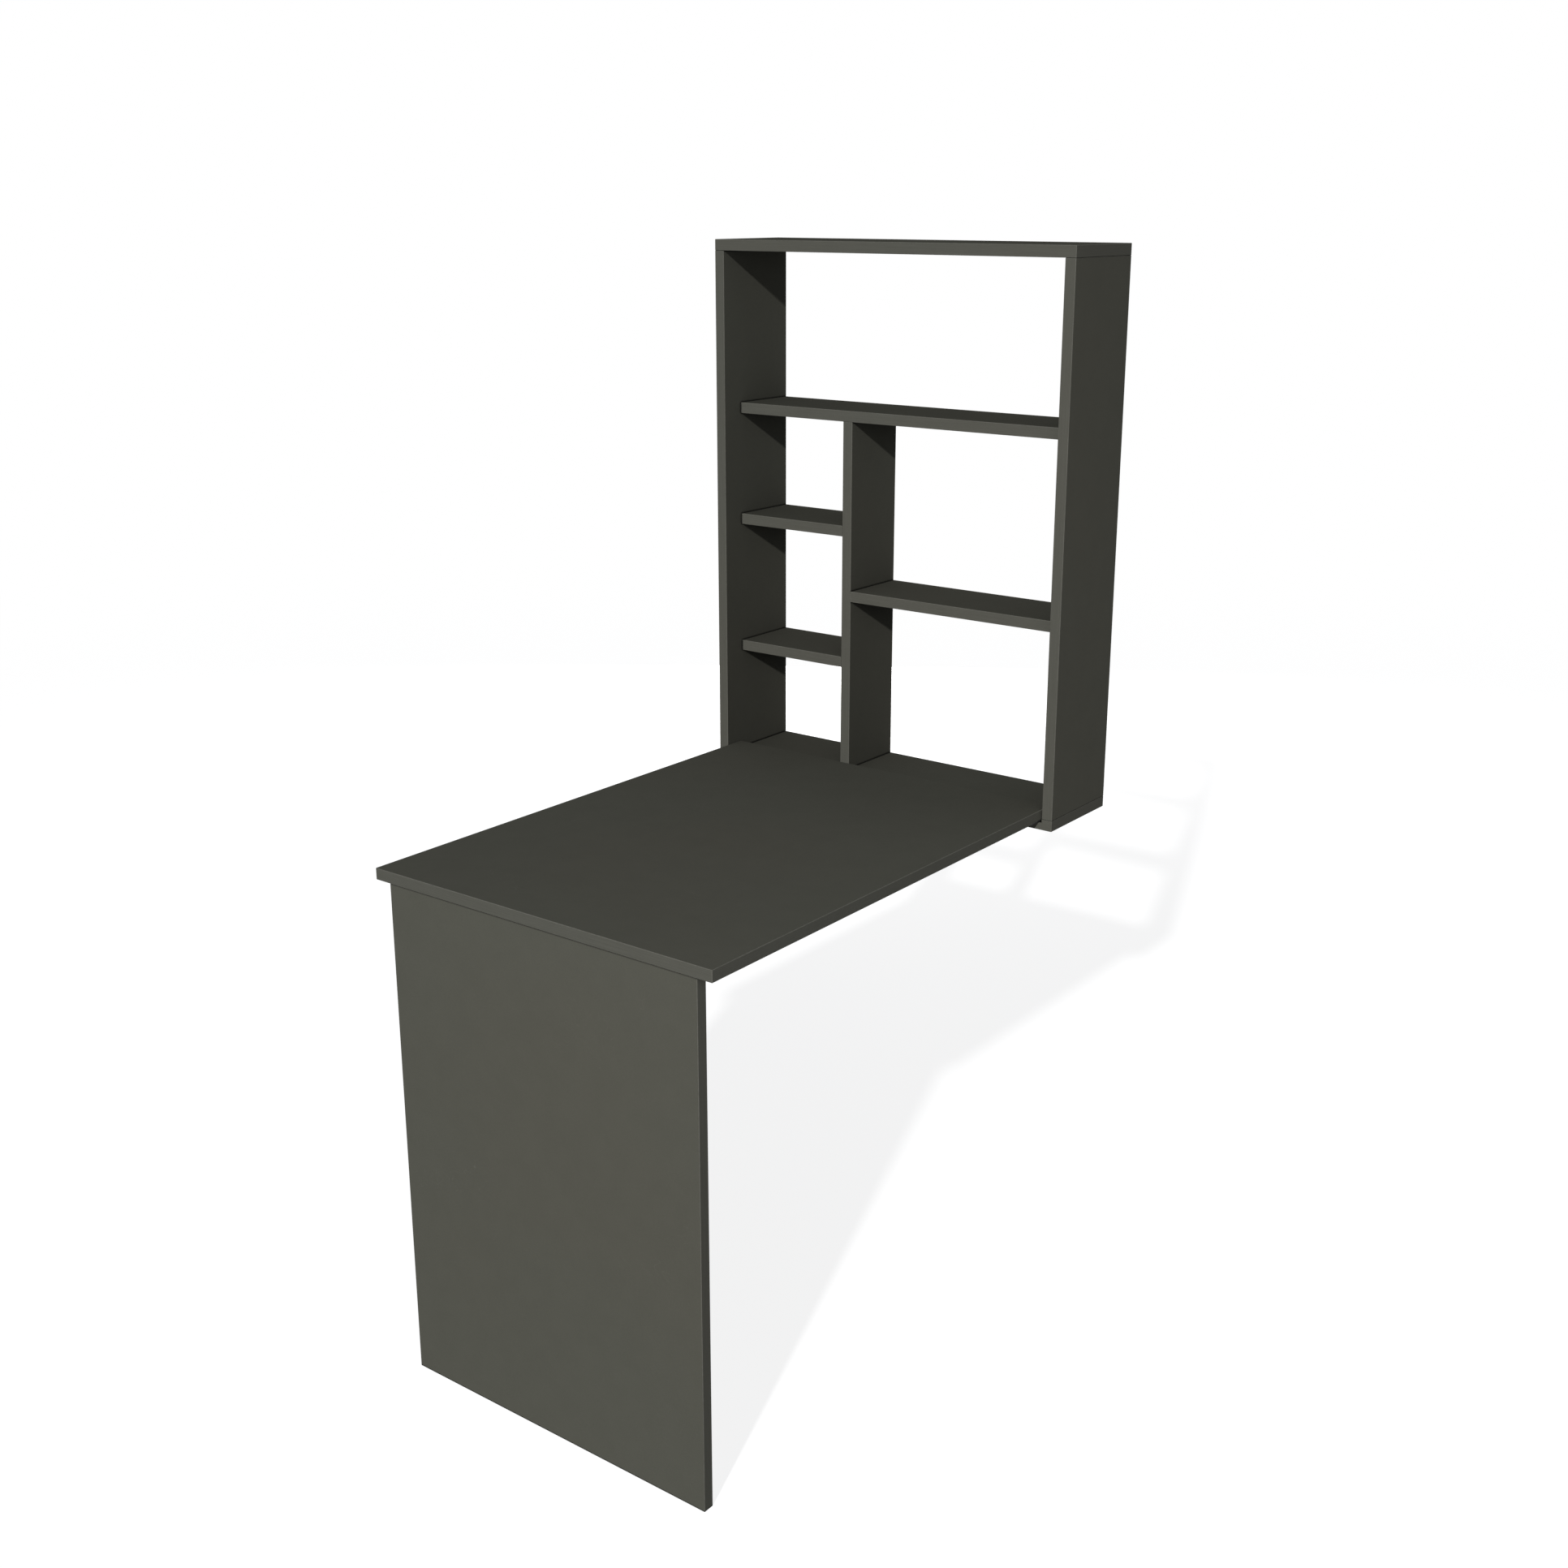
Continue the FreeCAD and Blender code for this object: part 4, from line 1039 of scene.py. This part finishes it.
off_middle = calc(tree, "ABSOLUTE", calc(tree, "MULTIPLY_ADD", phase, 2.0, -1.0))
from_crest = minus(tree, 1.0, off_middle)
valley = calc(tree, "MINIMUM", times(tree, from_crest, CREST_SHARPNESS), 1.0)
thread_start = plus(tree, given["Head Height"], given["Plain Shank"])
threaded = step(tree, height, thread_start, plus(tree, thread_start, given["Pitch"]))
thread_depth = times(tree, minus(tree, given["Shank Radius"], tip_loss), THREAD_DEPTH)
screw = grooved(tree, bar, times(tree, times(tree, valley, threaded), thread_depth))
arm = times(tree, given["Head Radius"], CROSS_REACH)
blade = times(tree, given["Head Radius"], CROSS_WIDTH)
sink = times(tree, given["Head Height"], DRIVE_DEPTH)
slotted = carved(tree, screw, slot_cutter(tree, arm, blade, sink, 0.0))
crossed = carved(tree, slotted, slot_cutter(tree, arm, blade, sink, math.pi / 2))
key_radius = times(tree, given["Head Radius"], KEY_RADIUS)
keyed = carved(tree, screw, drum_cutter(tree, key_radius, sink, 6))
chosen = out(tree, "GeometryNodeSwitch", {
    "Switch": given["Hexagon Key"], "False": crossed, "True": keyed}, input_type="GEOMETRY")
set_out(tree, given, result, chosen, 2 * math.pi)
print("tree:", tree.name)

# %% Screws in their places
SCREW_KINDS = {      # node: shank radius, head height, pitch, plain shank, hexagon key
    "desk_leaf_screws": (1.5, 1.1, 1.2, 0.6, False),
    "leg_leaf_screws": (1.5, 1.1, 1.2, 0.6, False),
    "desk_pivot_screws": (1.8, 1.6, 1.4, 0.6, False),
    "bolt_case_screws": (1.1, 1.0, 1.0, 0.5, False),
    "keeper_screws": (1.1, 1.0, 1.0, 0.5, False),
    "keyhole_screws": (1.3, 1.2, 1.1, 0.6, False),
    "pivot_foot_bolts": (2.0, 2.0, 0.8, 0.2, False),
    "confirmat_screws": (3.0, 2.5, 3.0, 6.0, True),
}
for node, (shank, head_height, pitch, plain, hexagon) in SCREW_KINDS.items():
    regrow(node, "threaded_" + node, screw_tree, {
        "Shank Radius": shank * MM, "Head Height": head_height * MM, "Pitch": pitch * MM,
        "Plain Shank": plain * MM, "Hexagon Key": hexagon, "Material": plated_steel,
    }, width="Head Radius")

# %% [markdown]
# ## Cams
#
# A cam is a zinc casting like a thick coin. A raised rim stops the screwdriver from slipping off,
# and the floor inside it has a cross recess with one long arm. A bore across it lets in the bolt
# that it draws up. It is seen only from below, in the undersides of the shelves.

# %% Tree: cams
CAM_ROWS, CAM_SIDES = 43, 48
CAM_EASE = 0.3 * MM
CAM_BLADE, CAM_TAPER = 1.3 * MM, 0.3
LONG_ARM, SHORT_ARM = (5.2 * MM, 1.6 * MM), (2.9 * MM, 3.2 * MM)    # reach and depth
CAM_ARMS = ((LONG_ARM, 30), (SHORT_ARM, 30), (SHORT_ARM, 120))      # each with its turn in degrees

cam_tree, given, result = new_group("cam_discs", [
    *SHARED_INPUTS, ("Radius", FLOAT, 7.5 * MM), ("Thickness", FLOAT, 12.5 * MM),
    ("Rim", FLOAT, 1.1 * MM), ("Floor Depth", FLOAT, 0.5 * MM),
    ("Bore Radius", FLOAT, 3.7 * MM), ("Bore Height", FLOAT, 8.0 * MM),
], [("Geometry", GEOMETRY)], "GeometryNodeTree")
tree = cam_tree
height = height_of_corner(tree)
radius = minus(tree, given["Radius"], ramp(tree, height, 0.0, CAM_EASE, CAM_EASE, 0.0))
cam = turned_bar(tree, given["Thickness"], CAM_ROWS, CAM_SIDES, radius)
inner_radius = minus(tree, given["Radius"], given["Rim"])
cam = carved(tree, cam, drum_cutter(tree, inner_radius, given["Floor Depth"], CAM_SIDES))
for (reach, depth), turn in CAM_ARMS:
    blade = slot_cutter(tree, reach, CAM_BLADE, depth, math.radians(turn), CAM_TAPER)
    cam = carved(tree, cam, blade)
bore_reach = times(tree, given["Radius"], 1.2)
bore = drum_cutter(tree, given["Bore Radius"], bore_reach, 24)
bore_place = joined(tree, 0, 0, given["Bore Height"])
across = out(tree, "GeometryNodeTransform", {
    "Geometry": bore, "Translation": bore_place, "Rotation": (0, math.pi / 2, 0)})
set_out(tree, given, result, carved(tree, cam, across), 0.0)
print("tree:", tree.name)

# %% Cams in their places
regrow("cam_locks", "cast_cam_locks", cam_tree, {"Material": cast_zinc}, length="Thickness")

# %% [markdown]
# ## Dowels and knobs
#
# A dowel is pressed with flutes so that glue can rise past it, and its ends are rounded to find the
# hole. A bolt's knob has flutes too, for the finger, and a thinner neck that goes into the bar. Both
# are a rod with rounded ends and grooves along it, so they share a tree. A neck of no length leaves
# a plain dowel.

# %% Tree: fluted rods
fluted_tree, given, result = new_group("fluted_rods", [
    *SHARED_INPUTS, ("Radius", FLOAT, 4 * MM), ("Length", FLOAT, 30 * MM), ("Flutes", WHOLE, 12),
    ("Flute Depth", FLOAT, 0.3 * MM), ("End Round", FLOAT, 1.2 * MM), ("Neck Radius", FLOAT, 1.2 * MM),
    ("Neck Length", FLOAT, 0.0), ("Row", FLOAT, 1.0 * MM),
], [("Geometry", GEOMETRY)], "GeometryNodeTree")
tree = fluted_tree
height = height_of_corner(tree)
body_length = minus(tree, given["Length"], given["Neck Length"])
to_end = calc(tree, "MINIMUM", height, minus(tree, body_length, height))
lack = calc(tree, "MAXIMUM", minus(tree, given["End Round"], to_end), 0.0)
round_squared = times(tree, given["End Round"], given["End Round"])
arc_squared = minus(tree, round_squared, times(tree, lack, lack))
arc = calc(tree, "SQRT", calc(tree, "MAXIMUM", arc_squared, 0.0))
rounded = plus(tree, minus(tree, given["Radius"], given["End Round"]), arc)
on_neck = calc(tree, "GREATER_THAN", height, body_length)
radius = blended(tree, on_neck, rounded, given["Neck Radius"])
rows = plus(tree, calc(tree, "DIVIDE", given["Length"], given["Row"]), 1.0)
sides = times(tree, given["Flutes"], 4.0)
rod = turned_bar(tree, given["Length"], rows, sides, radius)
flute_angle = times(tree, times(tree, angle_of_corner(tree), given["Flutes"]), 2 * math.pi)
wave = calc(tree, "COSINE", flute_angle)
flute = times(tree, calc(tree, "MULTIPLY_ADD", wave, 0.5, 0.5), given["Flute Depth"])
off_end = step(tree, to_end, 0.0, given["End Round"])
on_body = times(tree, minus(tree, 1.0, on_neck), off_end)
set_out(tree, given, result, grooved(tree, rod, times(tree, flute, on_body)), 0.0)
print("tree:", tree.name)

# %% Dowels and knobs in their places
LONG_GRAIN, THIN_GRAIN = 9.0, 0.7
UPRIGHT = 2     # the number of the upright axis


def beech_along(axis):
    """Beech whose grain runs along one axis."""
    run = [LONG_GRAIN if i == axis else THIN_GRAIN for i in range(3)]
    return finish_from("beech_along_" + "xyz"[axis], beech_wood, {"Run": run}, 0.08 * MM)


DOWEL_VALUES = {"Flutes": 10, "Row": 1.5 * MM, "Material": beech_along(UPRIGHT)}
regrow("wood_dowels", "fluted_wood_dowels", fluted_tree, DOWEL_VALUES)

KNOB_VALUES = {
    "Flutes": 20, "Flute Depth": 0.16 * MM, "End Round": 0.8 * MM, "Neck Radius": 1.2 * MM,
    "Neck Length": 3.0 * MM, "Row": 0.1 * MM, "Material": lacquered,
}
for node in ("left_bolt_knob", "right_bolt_knob"):
    regrow(node, "fluted_" + node, fluted_tree, KNOB_VALUES)

# %% Size of the result
low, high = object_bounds()
print("visual box in metres:", [round(c, 4) for c in (*low, *high)])
